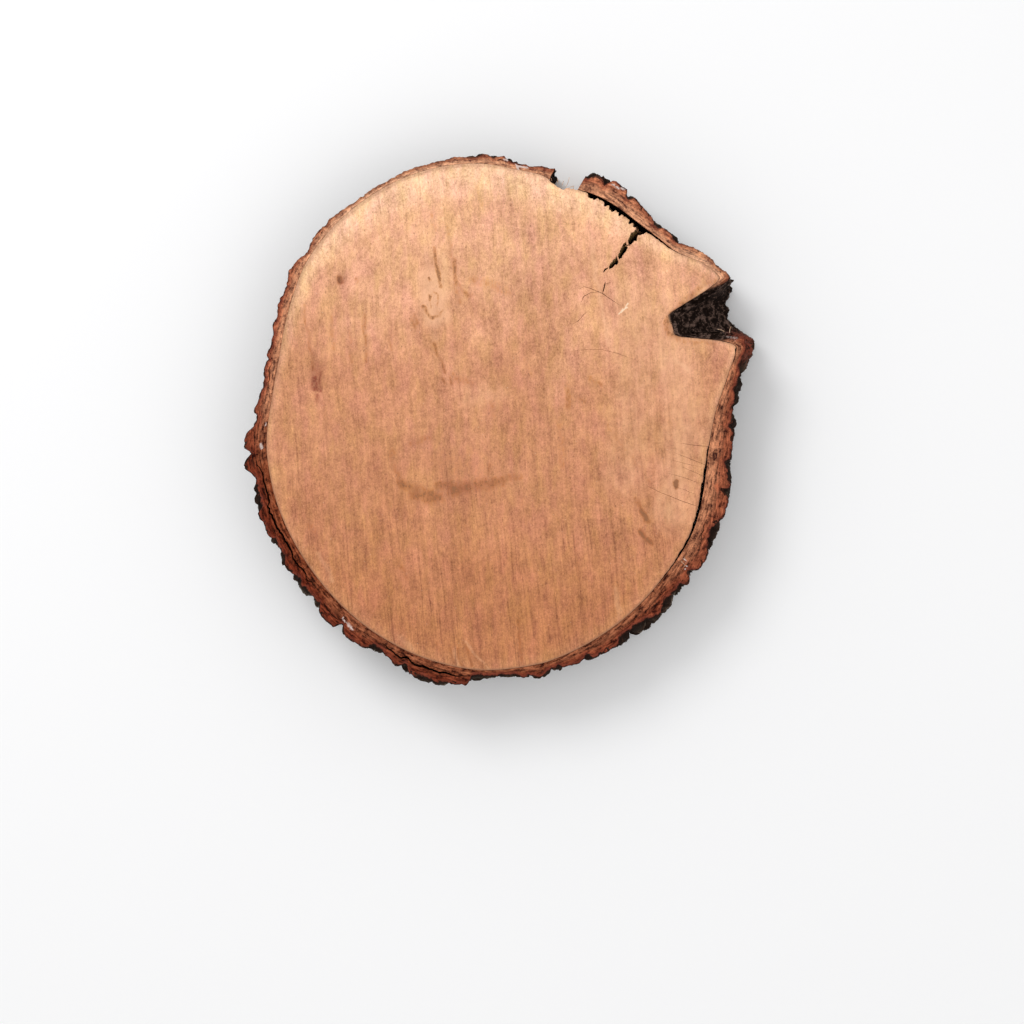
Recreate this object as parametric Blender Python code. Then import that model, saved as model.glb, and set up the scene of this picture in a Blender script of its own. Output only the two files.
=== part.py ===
"""Slice sawn from a tree trunk with its bark on, lying flat on its back face.

Metres, +Z up. The origin is the middle of the underside. The trunk's outline is given in polar form round its
own axis: a bearing is in degrees, anticlockwise from +X as seen from above.
"""
import math

import bmesh
import bpy
import numpy as np
from mathutils import Vector, noise

THICKNESS = 0.040
TRUNK_AXIS = (-0.0006, 0.0230)

# Bearing, radius of the wood and radius of the bark's outside, on the upper face.
OUTLINE = [
    (0, 0.1203, 0.1260), (3.5, 0.1233, 0.1289), (6, 0.1252, 0.1320), (15, 0.1262, 0.1325),
    (23, 0.1262, 0.1306), (28, 0.1218, 0.1260), (34, 0.1130, 0.1190), (40, 0.1092, 0.1153),
    (47, 0.1064, 0.1138), (55, 0.1056, 0.1160), (63, 0.1059, 0.1160), (73, 0.1040, 0.1110),
    (77, 0.1066, 0.1103), (85, 0.1080, 0.1125), (95, 0.1112, 0.1158), (110, 0.1141, 0.1176),
    (130, 0.1161, 0.1190), (138, 0.1168, 0.1211), (143, 0.1170, 0.1214), (148, 0.1172, 0.1204),
    (151, 0.1171, 0.1234), (158, 0.1160, 0.1222), (165, 0.1154, 0.1216), (176, 0.1158, 0.1226),
    (186, 0.1198, 0.1270), (197, 0.1274, 0.1385), (203, 0.1307, 0.1415), (210, 0.1344, 0.1450),
    (225, 0.1412, 0.1518), (240, 0.1481, 0.1572), (250, 0.1518, 0.1590), (256, 0.1535, 0.1612),
    (266, 0.1549, 0.1586), (274, 0.1537, 0.1580), (276.8, 0.1531, 0.1598), (280, 0.1523, 0.1574),
    (294, 0.1454, 0.1532), (308, 0.1374, 0.1482), (320, 0.1305, 0.1424), (330, 0.1224, 0.1360),
    (335, 0.1190, 0.1327), (340, 0.1166, 0.1282), (350, 0.1153, 0.1250),
]

# The bark is missing between these two bearings.
BARE_FROM, BARE_TO = 66.4, 75.0
RAGGED_REACH = 3.0
RAGGED_ANGLE = 0.9
RAGGED_SIZE = 0.006

# Loose bark: bearings where it starts and ends, bearing of the widest place, and the width there.
FIT_GAP = 0.0003
LOOSE_BARK = [(29.0, 68.0, 54.0, 0.0019), (306.0, 345.0, 328.0, 0.0012)]
LOOSE_SHARE_BELOW = 0.4

# Notch: a bark-lined groove that is deep at the upper face and nearly gone at the lower one.
NOTCH_LIPS = (7.15, 22.25)
NOTCH_FLOOR = (13.75, 17.55)
NOTCH_RADIUS_TOP = 0.0960
NOTCH_RADIUS_LOW = 0.1236
NOTCH_RUN_OUT = 0.2 * THICKNESS
LINING = 0.0020
LINING_ANGLE = 1.15

# Bark relief: upright plates with furrows between them.
PLATE_SIZE = 0.019
PLATE_STRETCH = 0.62
PLATE_WARP = 0.22
WARP_SEED = 11
WARP_RATE = 1.7
PLATE_RISE = 0.45
FURROW_WIDTH = 0.0058
FURROW_DEPTH = 0.0046
FURROW_SHARE = 0.50
LUMP_SIZE = 0.055
LUMP_HEIGHT = 0.0055
RIM_WEAR = 0.0005
RIM_BEVEL = 0.0022
LEAST_BARK = 0.0013
RIM_DROP = 0.0006

# Flake: the outer layer of bark stands off at the bottom of the outline and ends in a broken edge.
FLAKE_FROM, FLAKE_TO, FLAKE_OUT = 246.0, 264.0, 0.0050
FLAKE_EDGE = 1.2
FLAKE_LOW, FLAKE_HIGH = 0.14, 0.86

# Spacing of the columns along the wood's edge, in the notch too, and of the levels over the thickness.
COLUMN_STEP = 0.0029
NOTCH_STEP = 0.0022
NOTCH_REACH = 3.0
FINE_STEP = 0.1
WOOD_LEVELS = [0.0, 0.2, 0.6, 1.0]
BARK_LEVELS = 13

# Radial crack in the upper face: x and y from the trunk's axis, the width there and the depth.
RADIAL_CRACK = [
    (0.0790, 0.0848, 0.0033, 0.032), (0.0739, 0.0774, 0.0034, 0.031), (0.0709, 0.0729, 0.0031, 0.030),
    (0.0680, 0.0693, 0.0027, 0.029), (0.0648, 0.0656, 0.0020, 0.027), (0.0628, 0.0624, 0.0018, 0.025),
    (0.0604, 0.0593, 0.0021, 0.021), (0.0580, 0.0561, 0.0015, 0.015), (0.0545, 0.0536, 0.0007, 0.007),
]
# Split between the inner and outer layers of bark: bearings, share of the bark's thickness, width and depth.
SPLIT_FROM, SPLIT_TO = 199.0, 230.0
SPLIT_AT = 0.42
SPLIT_WIDTH = 0.0011
SPLIT_DEPTH = 0.009
SPLIT_END_SHARE = 0.25
SPLIT_STEP = 2.0

# A crack's section: how far its cutter starts above the face, and how narrow its bottom is.
CRACK_ABOVE = 0.002
CRACK_BOTTOM = 0.15


def clamp(value, low=0.0, high=1.0):
    return max(low, min(high, value))


def ease(value):
    """0 to 1 with a soft start and end."""
    t = clamp(value)
    return t * t * (3.0 - 2.0 * t)


def outline_radius(bearing, column):
    """Smooth closed curve through the stations of OUTLINE; column 1 is the wood, column 2 the bark."""
    stations = [(row[0], row[column]) for row in OUTLINE]
    before = [(b - 360.0, r) for b, r in stations[-2:]]
    after = [(b + 360.0, r) for b, r in stations[:2]]
    wrapped = before + stations + after
    bearing %= 360.0
    k = 1
    while wrapped[k + 1][0] <= bearing:
        k += 1
    (b0, r0), (b1, r1), (b2, r2), (b3, r3) = wrapped[k - 1:k + 3]
    span = b2 - b1
    t = (bearing - b1) / span
    slope_1 = (r2 - r0) / (b2 - b0) * span
    slope_2 = (r3 - r1) / (b3 - b1) * span
    return (
        (2 * t ** 3 - 3 * t ** 2 + 1) * r1 + (t ** 3 - 2 * t ** 2 + t) * slope_1
        + (3 * t ** 2 - 2 * t ** 3) * r2 + (t ** 3 - t ** 2) * slope_2
    )


def notch_share(bearing, widen):
    """How far the groove is cut in at this bearing: 0 outside its lips, 1 on its floor."""
    bearing %= 360.0
    rise = (bearing - (NOTCH_LIPS[0] - widen)) / (NOTCH_FLOOR[0] - NOTCH_LIPS[0])
    fall = (NOTCH_LIPS[1] + widen - bearing) / (NOTCH_LIPS[1] - NOTCH_FLOOR[1])
    return ease(rise) * ease(fall)


def notch_radius(z):
    """The bark's outside on the floor of the groove, which slopes outwards as it goes down."""
    t = clamp((z - NOTCH_RUN_OUT) / (THICKNESS - NOTCH_RUN_OUT))
    return NOTCH_RADIUS_LOW + (NOTCH_RADIUS_TOP - NOTCH_RADIUS_LOW) * t


def wood_radius(bearing, z):
    whole = outline_radius(bearing, 1)
    floor = min(notch_radius(z) - LINING, whole)
    return whole + (floor - whole) * notch_share(bearing, LINING_ANGLE)


def loose_gap(bearing, z):
    """Width of the gap between wood and bark: narrow where the bark holds, open where it has come away."""
    bearing %= 360.0
    gap = 0.0
    for start, end, widest, width in LOOSE_BARK:
        if start < bearing < end:
            share = min((bearing - start) / (widest - start), (end - bearing) / (end - widest))
            gap = width * ease(share) * (LOOSE_SHARE_BELOW + (1.0 - LOOSE_SHARE_BELOW) * z / THICKNESS)
    return gap


def steepness(bearing, z):
    """How much longer a radial step is than the same step square to the wood's surface."""
    turn, rise = 0.3, 0.0005
    radii = [wood_radius(bearing + k * turn, z) for k in range(-2, 3)]
    along = max(abs(b - a) for a, b in zip(radii, radii[1:])) / math.radians(turn) / radii[2]
    up = (wood_radius(bearing, z + rise) - wood_radius(bearing, z - rise)) / (2 * rise)
    return math.hypot(1.0, along, up)


def bark_inside(bearing, z):
    """The wood's surface moved out by the gap, measured square to the surface."""
    return wood_radius(bearing, z) + FIT_GAP * steepness(bearing, z) + loose_gap(bearing, z)


def point_at(bearing, radius, z):
    angle = math.radians(bearing)
    return Vector((
        TRUNK_AXIS[0] + radius * math.cos(angle),
        TRUNK_AXIS[1] + radius * math.sin(angle),
        z,
    ))


def furrow(point, size, width):
    """1 in the furrow between two plates, 0 on a plate. The plates are the cells of a Voronoi pattern."""
    place = Vector((point.x, point.y, point.z * PLATE_STRETCH)) / size
    place += PLATE_WARP * noise.noise_vector(place * WARP_RATE)
    nearest, second = noise.voronoi(place)[0][:2]
    return 1.0 - ease((second - nearest) * size / width)


def flake(bearing, z):
    """The outer layer leans out towards its broken edge, most at the upper face."""
    if not FLAKE_FROM < bearing % 360.0 < FLAKE_TO + FLAKE_EDGE:
        return 0.0
    lean = ease((bearing % 360.0 - FLAKE_FROM) / (FLAKE_TO - FLAKE_FROM))
    end = ease((FLAKE_TO + FLAKE_EDGE - bearing % 360.0) / FLAKE_EDGE)
    return FLAKE_OUT * lean * end * ease((z / THICKNESS - FLAKE_LOW) / (FLAKE_HIGH - FLAKE_LOW))


def bark_outside(bearing, z):
    inside = bark_inside(bearing, z)
    groove = notch_share(bearing, 0.0)
    radius = outline_radius(bearing, 2)
    floor = min(notch_radius(z), radius)
    radius += (floor - radius) * groove
    thickness = max(radius - inside, LEAST_BARK)
    point = point_at(bearing, radius, z)
    depth = min(FURROW_DEPTH, FURROW_SHARE * thickness)
    from_rim = min(z, THICKNESS - z)
    lumps = LUMP_HEIGHT * noise.noise(point / LUMP_SIZE) * (1.0 - z / THICKNESS) * (1.0 - groove)
    wear = RIM_WEAR * (1.0 - ease(from_rim / RIM_BEVEL)) * (1.0 - groove)
    radius += lumps + flake(bearing, z) - wear
    radius += depth * (PLATE_RISE - furrow(point, PLATE_SIZE, FURROW_WIDTH))
    return max(radius, inside + LEAST_BARK * steepness(bearing, z))


def stretch(start, end, step):
    """Bearings from start up to end, spaced evenly along the wood's edge on the upper face."""
    fine = np.linspace(start, end, math.ceil((end - start) / FINE_STEP) + 1)
    edge = np.array([point_at(b, wood_radius(b, THICKNESS), 0.0)[:2] for b in fine])
    run = np.concatenate([[0.0], np.cumsum(np.linalg.norm(np.diff(edge, axis=0), axis=1))])
    count = round(run[-1] / step)
    return list(np.interp(np.linspace(0.0, run[-1], count + 1), run, fine))


def bark_bearings():
    """The columns of the bark, which the wood shares so that their walls run side by side."""
    notch_from, notch_to = 360.0 + NOTCH_LIPS[0] - NOTCH_REACH, 360.0 + NOTCH_LIPS[1] + NOTCH_REACH
    return (
        stretch(BARE_TO, notch_from, COLUMN_STEP)[:-1]
        + stretch(notch_from, notch_to, NOTCH_STEP)[:-1]
        + stretch(notch_to, 360.0 + BARE_FROM, COLUMN_STEP)
    )


def object_from(name, points, faces, collection):
    mesh = bpy.data.meshes.new(name)
    mesh.from_pydata([tuple(p) for p in points], [], faces)
    shape = bmesh.new()
    shape.from_mesh(mesh)
    bmesh.ops.recalc_face_normals(shape, faces=shape.faces)
    shape.to_mesh(mesh)
    shape.free()
    piece = bpy.data.objects.new(name, mesh)
    collection.objects.link(piece)
    return piece


def loft(name, sections, collection, closed_round):
    """Skin through sections that are closed loops of equal length. The ends join, or each gets a cap."""
    count, size = len(sections), len(sections[0])
    points = [p for section in sections for p in section]
    faces = []
    for i in range(count if closed_round else count - 1):
        here, there = i * size, (i + 1) % count * size
        for k in range(size):
            up = (k + 1) % size
            faces.append((here + k, there + k, there + up))
            faces.append((here + k, there + up, here + up))
    if not closed_round:
        faces.append(tuple(range(size)))
        faces.append(tuple(range((count - 1) * size, count * size)))
    return object_from(name, points, faces, collection)


def make_wood(collection):
    bearings = bark_bearings() + stretch(360.0 + BARE_FROM, 360.0 + BARE_TO, COLUMN_STEP)[1:-1]
    levels = [share * THICKNESS for share in WOOD_LEVELS]
    rings = [[point_at(b, wood_radius(b, z), z) for z in levels] for b in bearings]
    count, size = len(rings), len(levels)
    points = [p for ring in rings for p in ring]
    faces = []
    for i in range(count):
        here, there = i * size, (i + 1) % count * size
        for k in range(size - 1):
            faces.append((here + k, there + k, there + k + 1))
            faces.append((here + k, there + k + 1, here + k + 1))
    faces.append(tuple(i * size for i in range(count)))
    faces.append(tuple(i * size + size - 1 for i in range(count)))
    return object_from("wood", points, faces, collection)


def bark_section(bearing, ragged):
    """One closed loop across the bark: up its inside, over the upper rim, down its outside and back."""
    def shifted(side, z):
        rough = noise.noise(Vector((side, z / RAGGED_SIZE, bearing // 180.0)) + Vector((0.3, 0.3, 0.3)))
        return bearing + ragged * RAGGED_ANGLE * rough

    top, low = THICKNESS - FIT_GAP, FIT_GAP
    inside = []
    for share in WOOD_LEVELS:
        z = clamp(share * THICKNESS, low, top)
        b = shifted(0.0, z)
        inside.append(point_at(b, bark_inside(b, z), z))
    outside = []
    for k in range(BARK_LEVELS):
        z = THICKNESS - RIM_DROP - (THICKNESS - 2 * RIM_DROP) * k / (BARK_LEVELS - 1)
        b = shifted(1.0, z)
        outside.append(point_at(b, bark_outside(b, z), z))
    upper = (inside[-1] + outside[0]) / 2
    upper.z = top
    lower = (inside[0] + outside[-1]) / 2
    lower.z = low
    return inside + [upper] + outside + [lower]


def make_bark(collection):
    start, end = BARE_TO, BARE_FROM + 360.0
    sections = []
    for bearing in bark_bearings():
        from_end = min(bearing - start, end - bearing)
        sections.append(bark_section(bearing, 1.0 - ease(from_end / RAGGED_REACH)))
    return loft("bark", sections, collection, closed_round=False)


def wedge(name, route, collection):
    """Cutter with a V section: route holds x and y from the trunk's axis, the width and the depth."""
    sections = []
    for k, (x, y, width, depth) in enumerate(route):
        before, after = route[max(k - 1, 0)], route[min(k + 1, len(route) - 1)]
        along = Vector((after[0] - before[0], after[1] - before[1], 0.0)).normalized()
        side = Vector((-along.y, along.x, 0.0)) * width / 2
        here = Vector((TRUNK_AXIS[0] + x, TRUNK_AXIS[1] + y, THICKNESS))
        sections.append([
            here + side + Vector((0, 0, CRACK_ABOVE)),
            here - side + Vector((0, 0, CRACK_ABOVE)),
            here - side,
            here - side * CRACK_BOTTOM - Vector((0, 0, depth)),
            here + side * CRACK_BOTTOM - Vector((0, 0, depth)),
            here + side,
        ])
    cutter = loft(name, sections, collection, closed_round=False)
    cutter.hide_render = True
    cutter.display_type = "WIRE"
    return cutter


def split_route():
    """The split follows the bark at a fixed share of its thickness, widest in the middle."""
    count = round((SPLIT_TO - SPLIT_FROM) / SPLIT_STEP)
    route = []
    for k in range(count + 1):
        bearing = SPLIT_FROM + (SPLIT_TO - SPLIT_FROM) * k / count
        inside, outside = bark_inside(bearing, THICKNESS), outline_radius(bearing, 2)
        radius = inside + SPLIT_AT * (outside - inside)
        x, y = radius * math.cos(math.radians(bearing)), radius * math.sin(math.radians(bearing))
        open_share = SPLIT_END_SHARE + (1.0 - SPLIT_END_SHARE) * math.sin(math.pi * k / count)
        route.append((x, y, SPLIT_WIDTH * open_share, SPLIT_DEPTH * open_share))
    return route


def cut(piece, cutter):
    modifier = piece.modifiers.new(cutter.name, "BOOLEAN")
    modifier.operation = "DIFFERENCE"
    modifier.object = cutter


def add_material(piece, colour, roughness):
    material = bpy.data.materials.new(piece.name)
    material.use_nodes = True
    surface = material.node_tree.nodes["Principled BSDF"]
    surface.inputs["Base Color"].default_value = (*colour, 1.0)
    surface.inputs["Roughness"].default_value = roughness
    surface.inputs["Metallic"].default_value = 0.0
    piece.data.materials.append(material)


def main():
    for old in list(bpy.data.objects):
        bpy.data.objects.remove(old)
    noise.seed_set(WARP_SEED)
    slice_parts = bpy.data.collections.new("wood_slice")
    cutters = bpy.data.collections.new("cutters")
    for collection in (slice_parts, cutters):
        bpy.context.scene.collection.children.link(collection)

    wood = make_wood(slice_parts)
    cut(wood, wedge("radial_crack", RADIAL_CRACK, cutters))
    add_material(wood, (0.62, 0.37, 0.20), 0.62)

    bark = make_bark(slice_parts)
    cut(bark, wedge("bark_split", split_route(), cutters))
    add_material(bark, (0.13, 0.075, 0.05), 0.88)


main()
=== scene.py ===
import math

import bmesh
import bpy
import numpy as np
from mathutils import Matrix, Vector, geometry, kdtree, noise


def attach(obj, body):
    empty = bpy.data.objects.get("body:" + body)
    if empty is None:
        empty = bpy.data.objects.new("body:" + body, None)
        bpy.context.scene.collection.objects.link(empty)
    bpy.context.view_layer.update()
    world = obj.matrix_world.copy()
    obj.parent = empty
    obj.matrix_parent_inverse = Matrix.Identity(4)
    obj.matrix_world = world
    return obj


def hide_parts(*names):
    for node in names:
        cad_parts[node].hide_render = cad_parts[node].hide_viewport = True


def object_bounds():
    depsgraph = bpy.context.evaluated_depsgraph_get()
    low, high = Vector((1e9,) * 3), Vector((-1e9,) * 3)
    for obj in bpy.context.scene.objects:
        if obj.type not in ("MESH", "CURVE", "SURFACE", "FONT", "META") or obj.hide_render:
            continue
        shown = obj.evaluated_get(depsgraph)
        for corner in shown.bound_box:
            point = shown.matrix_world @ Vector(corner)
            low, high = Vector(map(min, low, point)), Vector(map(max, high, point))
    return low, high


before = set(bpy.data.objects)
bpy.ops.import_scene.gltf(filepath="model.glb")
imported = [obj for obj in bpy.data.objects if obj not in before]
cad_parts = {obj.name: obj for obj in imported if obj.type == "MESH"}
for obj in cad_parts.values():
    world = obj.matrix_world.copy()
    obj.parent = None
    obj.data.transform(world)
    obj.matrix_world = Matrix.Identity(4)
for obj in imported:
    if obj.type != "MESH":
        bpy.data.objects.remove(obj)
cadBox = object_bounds()
noise.seed_set(11)
print("frame loaded")

# Form of the slice, the same as the solids follow: metres, bearings in degrees anticlockwise from +X
trunk = {
    "thickness": 0.040,
    "axis": (-0.0006, 0.0230),
    "stations": [  # bearing, radius of the wood, radius of the bark's outside
        (0, 0.1203, 0.1260), (3.5, 0.1233, 0.1289), (6, 0.1252, 0.1320), (15, 0.1262, 0.1325),
        (23, 0.1262, 0.1306), (28, 0.1218, 0.1260), (34, 0.1130, 0.1190), (40, 0.1092, 0.1153),
        (47, 0.1064, 0.1138), (55, 0.1056, 0.1160), (63, 0.1059, 0.1160), (73, 0.1040, 0.1110),
        (77, 0.1066, 0.1103), (85, 0.1080, 0.1125), (95, 0.1112, 0.1158), (110, 0.1141, 0.1176),
        (130, 0.1161, 0.1190), (138, 0.1168, 0.1211), (143, 0.1170, 0.1214), (148, 0.1172, 0.1204),
        (151, 0.1171, 0.1234), (158, 0.1160, 0.1222), (165, 0.1154, 0.1216), (176, 0.1158, 0.1226),
        (186, 0.1198, 0.1270), (197, 0.1274, 0.1385), (203, 0.1307, 0.1415), (210, 0.1344, 0.1450),
        (225, 0.1412, 0.1518), (240, 0.1481, 0.1572), (250, 0.1518, 0.1590), (256, 0.1535, 0.1612),
        (266, 0.1549, 0.1586), (274, 0.1537, 0.1580), (276.8, 0.1531, 0.1598), (280, 0.1523, 0.1574),
        (294, 0.1454, 0.1532), (308, 0.1374, 0.1482), (320, 0.1305, 0.1424), (330, 0.1224, 0.1360),
        (335, 0.1190, 0.1327), (340, 0.1166, 0.1282), (350, 0.1153, 0.1250),
    ],
    "bare": (66.4, 75.0),  # no bark between these bearings
    "looseBark": [(29.0, 68.0, 54.0, 0.0019), (306.0, 345.0, 328.0, 0.0012)],
    "looseBelow": 0.4,
    "fitGap": 0.0001,  # the solids lie 0.3 mm apart; the finer pieces nearly touch
    "notchLips": (7.15, 22.25),
    "notchFloor": (13.75, 17.55),
    "notchRadius": (0.1236, 0.0960),  # low, and at the upper face
    "notchRunOut": 0.008,
    "lining": 0.0020,
    "liningAngle": 1.15,
}
thickness = trunk["thickness"]


def ease(value):
    t = np.clip(value, 0.0, 1.0)
    return t * t * (3.0 - 2.0 * t)


def outlineRadius(bearing, column):
    rows = trunk["stations"]
    ends = [(b - 360, w, o) for b, w, o in rows[-2:]], [(b + 360, w, o) for b, w, o in rows[:2]]
    table = np.array(ends[0] + rows + ends[1], float)
    at, radii = table[:, 0], table[:, column]
    bearing = np.mod(bearing, 360.0)
    k = np.searchsorted(at, bearing, side="right") - 1
    span = at[k + 1] - at[k]
    t = (bearing - at[k]) / span
    slopeHere = (radii[k + 1] - radii[k - 1]) / (at[k + 1] - at[k - 1]) * span
    slopeNext = (radii[k + 2] - radii[k]) / (at[k + 2] - at[k]) * span
    return (
        (2 * t ** 3 - 3 * t ** 2 + 1) * radii[k] + (t ** 3 - 2 * t ** 2 + t) * slopeHere
        + (3 * t ** 2 - 2 * t ** 3) * radii[k + 1] + (t ** 3 - t ** 2) * slopeNext
    )


def notchShare(bearing, widen):
    bearing = np.mod(bearing, 360.0)
    lips, floor = trunk["notchLips"], trunk["notchFloor"]
    rise = (bearing - (lips[0] - widen)) / (floor[0] - lips[0])
    fall = (lips[1] + widen - bearing) / (lips[1] - floor[1])
    return ease(rise) * ease(fall)


def notchRadius(z):
    low, high = trunk["notchRadius"]
    return low + (high - low) * np.clip((z - trunk["notchRunOut"]) / (thickness - trunk["notchRunOut"]), 0.0, 1.0)


def woodRadius(bearing, z):
    whole = outlineRadius(bearing, 1)
    floor = np.minimum(notchRadius(z) - trunk["lining"], whole)
    return whole + (floor - whole) * notchShare(bearing, trunk["liningAngle"])


def looseGap(bearing, z):
    bearing = np.mod(bearing, 360.0)
    gap = np.zeros(np.broadcast(bearing, z).shape)
    below = trunk["looseBelow"]
    for start, end, widest, width in trunk["looseBark"]:
        share = np.minimum((bearing - start) / (widest - start), (end - bearing) / (end - widest))
        gap = gap + width * ease(share) * (below + (1.0 - below) * z / thickness)
    return gap


def barkInside(bearing, z):
    turn, rise = 0.3, 0.0005
    radii = [woodRadius(bearing + k * turn, z) for k in range(-2, 3)]
    along = np.max([abs(b - a) for a, b in zip(radii, radii[1:])], axis=0) / math.radians(turn) / radii[2]
    up = (woodRadius(bearing, z + rise) - woodRadius(bearing, z - rise)) / (2 * rise)
    steep = np.sqrt(1.0 + along ** 2 + up ** 2)
    return radii[2] + trunk["fitGap"] * steep + looseGap(bearing, z), steep


def placed(bearing, radius, z):
    angle = np.radians(bearing)
    x = trunk["axis"][0] + radius * np.cos(angle)
    y = trunk["axis"][1] + radius * np.sin(angle)
    return np.stack(np.broadcast_arrays(x, y, z), axis=-1)


def sampled(function, points):
    flat = points.reshape(-1, 3)
    return np.array([function(Vector(p)) for p in flat]).reshape(points.shape[:-1])


def evenBearings(start, end, step):
    fine = np.arange(start, end + 0.02, 0.02)
    edge = placed(fine, woodRadius(fine, thickness), 0.0)
    run = np.concatenate([[0.0], np.cumsum(np.linalg.norm(np.diff(edge, axis=0), axis=1))])
    count = round(run[-1] / step)
    return np.interp(np.linspace(0.0, run[-1], count + 1), run, fine)


def newObject(name, mesh):
    piece = bpy.data.objects.new(name, mesh)
    bpy.context.scene.collection.objects.link(piece)
    return piece


def meshFrom(name, points, faces):
    mesh = bpy.data.meshes.new(name)
    mesh.from_pydata([tuple(p) for p in points], [], [tuple(int(i) for i in face) for face in faces])
    return mesh


def cleaned(mesh, merge=1e-6):
    shape = bmesh.new()
    shape.from_mesh(mesh)
    bmesh.ops.remove_doubles(shape, verts=shape.verts, dist=merge)
    bmesh.ops.delete(shape, geom=[v for v in shape.verts if not v.link_faces], context="VERTS")
    bmesh.ops.recalc_face_normals(shape, faces=shape.faces)
    shape.to_mesh(mesh)
    shape.free()
    return mesh


def setAttribute(mesh, name, values):
    layer = mesh.attributes.get(name) or mesh.attributes.new(name, "FLOAT", "POINT")
    layer.data.foreach_set("value", np.asarray(values, dtype=np.float32))


def pointsOf(mesh):
    flat = np.empty(len(mesh.vertices) * 3)
    mesh.vertices.foreach_get("co", flat)
    return flat.reshape(-1, 3)


def baked(piece):
    # The evaluated shape as a plain mesh, with every modifier gone
    graph = bpy.context.evaluated_depsgraph_get()
    mesh = bpy.data.meshes.new_from_object(piece.evaluated_get(graph))
    piece.modifiers.clear()
    piece.data = mesh
    return mesh


# Geometry Nodes and shader nodes are written as expressions on sockets
class Wire:
    def __init__(self, tree, socket):
        self.tree, self.socket = tree, socket

    def math(self, operation, *others, flip=False):
        values = [self, *others]
        if flip:
            values.reverse()
        return add(self.tree, "ShaderNodeMath", {"operation": operation}, dict(enumerate(values)))

    def __add__(self, other): return self.math("ADD", other)
    def __radd__(self, other): return self.math("ADD", other)
    def __sub__(self, other): return self.math("SUBTRACT", other)
    def __rsub__(self, other): return self.math("SUBTRACT", other, flip=True)
    def __mul__(self, other): return self.math("MULTIPLY", other)
    def __rmul__(self, other): return self.math("MULTIPLY", other)
    def __truediv__(self, other): return self.math("DIVIDE", other)
    def __rtruediv__(self, other): return self.math("DIVIDE", other, flip=True)
    def __pow__(self, other): return self.math("POWER", other)
    def __neg__(self): return self.math("MULTIPLY", -1.0)

    def least(self, other): return self.math("MINIMUM", other)
    def most(self, other): return self.math("MAXIMUM", other)
    def size(self): return self.math("ABSOLUTE")

    def rising(self, low, high):
        # 0 below low, 1 above high, soft between them; with low above high it falls instead
        return add(self.tree, "ShaderNodeMapRange", {"interpolation_type": "SMOOTHSTEP"},
                   {"Value": self, "From Min": low, "From Max": high})

    def clipped(self):
        return add(self.tree, "ShaderNodeClamp", {}, {"Value": self})


def add(tree, kind, settings, sockets, out=0):
    node = tree.nodes.new(kind)
    for name, value in settings.items():
        setattr(node, name, value)
    for name, value in sockets.items():
        socket = node.inputs[name]
        if isinstance(value, Wire):
            tree.links.new(value.socket, socket)
        else:
            socket.default_value = value
    return Wire(tree, node.outputs[out])


def mixColour(tree, share, first, second, mode="MIX"):
    node = tree.nodes.new("ShaderNodeMix")
    node.data_type = "RGBA"
    node.blend_type = mode
    for index, value in ((0, share), (6, first), (7, second)):
        if isinstance(value, Wire):
            tree.links.new(value.socket, node.inputs[index])
        else:
            node.inputs[index].default_value = value if index == 0 else (*value, 1.0)
    return Wire(tree, node.outputs[2])


def vector(tree, x, y, z):
    return add(tree, "ShaderNodeCombineXYZ", {}, {0: x, 1: y, 2: z})


def noiseAt(tree, place, scale, detail=2.0, rough=0.5, warp=0.0):
    return add(tree, "ShaderNodeTexNoise", {}, {
        "Vector": place, "Scale": scale, "Detail": detail, "Roughness": rough, "Distortion": warp})


def attribute(tree, name):
    return add(tree, "ShaderNodeAttribute", {"attribute_name": name}, {}, out="Fac")


def newMaterial(name):
    material = bpy.data.materials.new(name)
    material.use_nodes = True
    tree = material.node_tree
    return material, tree, tree.nodes["Principled BSDF"]


def objectPlace(tree):
    # Object coordinates in millimetres
    raw = add(tree, "ShaderNodeTexCoord", {}, {}, out="Object")
    scaled = add(tree, "ShaderNodeVectorMath", {"operation": "SCALE"}, {"Vector": raw, "Scale": 1000.0})
    split = tree.nodes.new("ShaderNodeSeparateXYZ")
    tree.links.new(scaled.socket, split.inputs[0])
    return scaled, [Wire(tree, split.outputs[i]) for i in range(3)]


# Camera: it looks down on the face, turned a little so that the bark at the right and the bottom shows
view = {
    "target": (0.0004, 0.0003, 0.040),
    "distance": 1.55,
    "elevation": 85.5,
    "azimuth": -38.0,
    "millimetresPerPixel": 0.5229,
    "centre": (499.9, 417.2),  # where the slice's middle lies in the 1024 by 1024 frame
}


def addCamera():
    eye = bpy.data.cameras.new("camera")
    camera = newObject("camera", eye)
    up, turn = math.radians(view["elevation"]), math.radians(view["azimuth"])
    away = Vector((math.cos(up) * math.cos(turn), math.cos(up) * math.sin(turn), math.sin(up)))
    target = Vector(view["target"])
    spot = target + away * view["distance"]
    right = Vector((0.0, 1.0, 0.0)).cross(away).normalized()
    top = away.cross(right)
    camera.matrix_world = Matrix((
        (right.x, top.x, away.x, spot.x),
        (right.y, top.y, away.y, spot.y),
        (right.z, top.z, away.z, spot.z),
        (0.0, 0.0, 0.0, 1.0),
    ))
    frameWidth = 1024 * view["millimetresPerPixel"] / 1000
    eye.sensor_width = 36.0
    eye.lens = 36.0 * view["distance"] / frameWidth
    eye.shift_x = (512.0 - view["centre"][0]) / 1024
    eye.shift_y = -(512.0 - view["centre"][1]) / 1024
    eye.clip_start = 0.05
    bpy.context.scene.camera = camera


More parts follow.
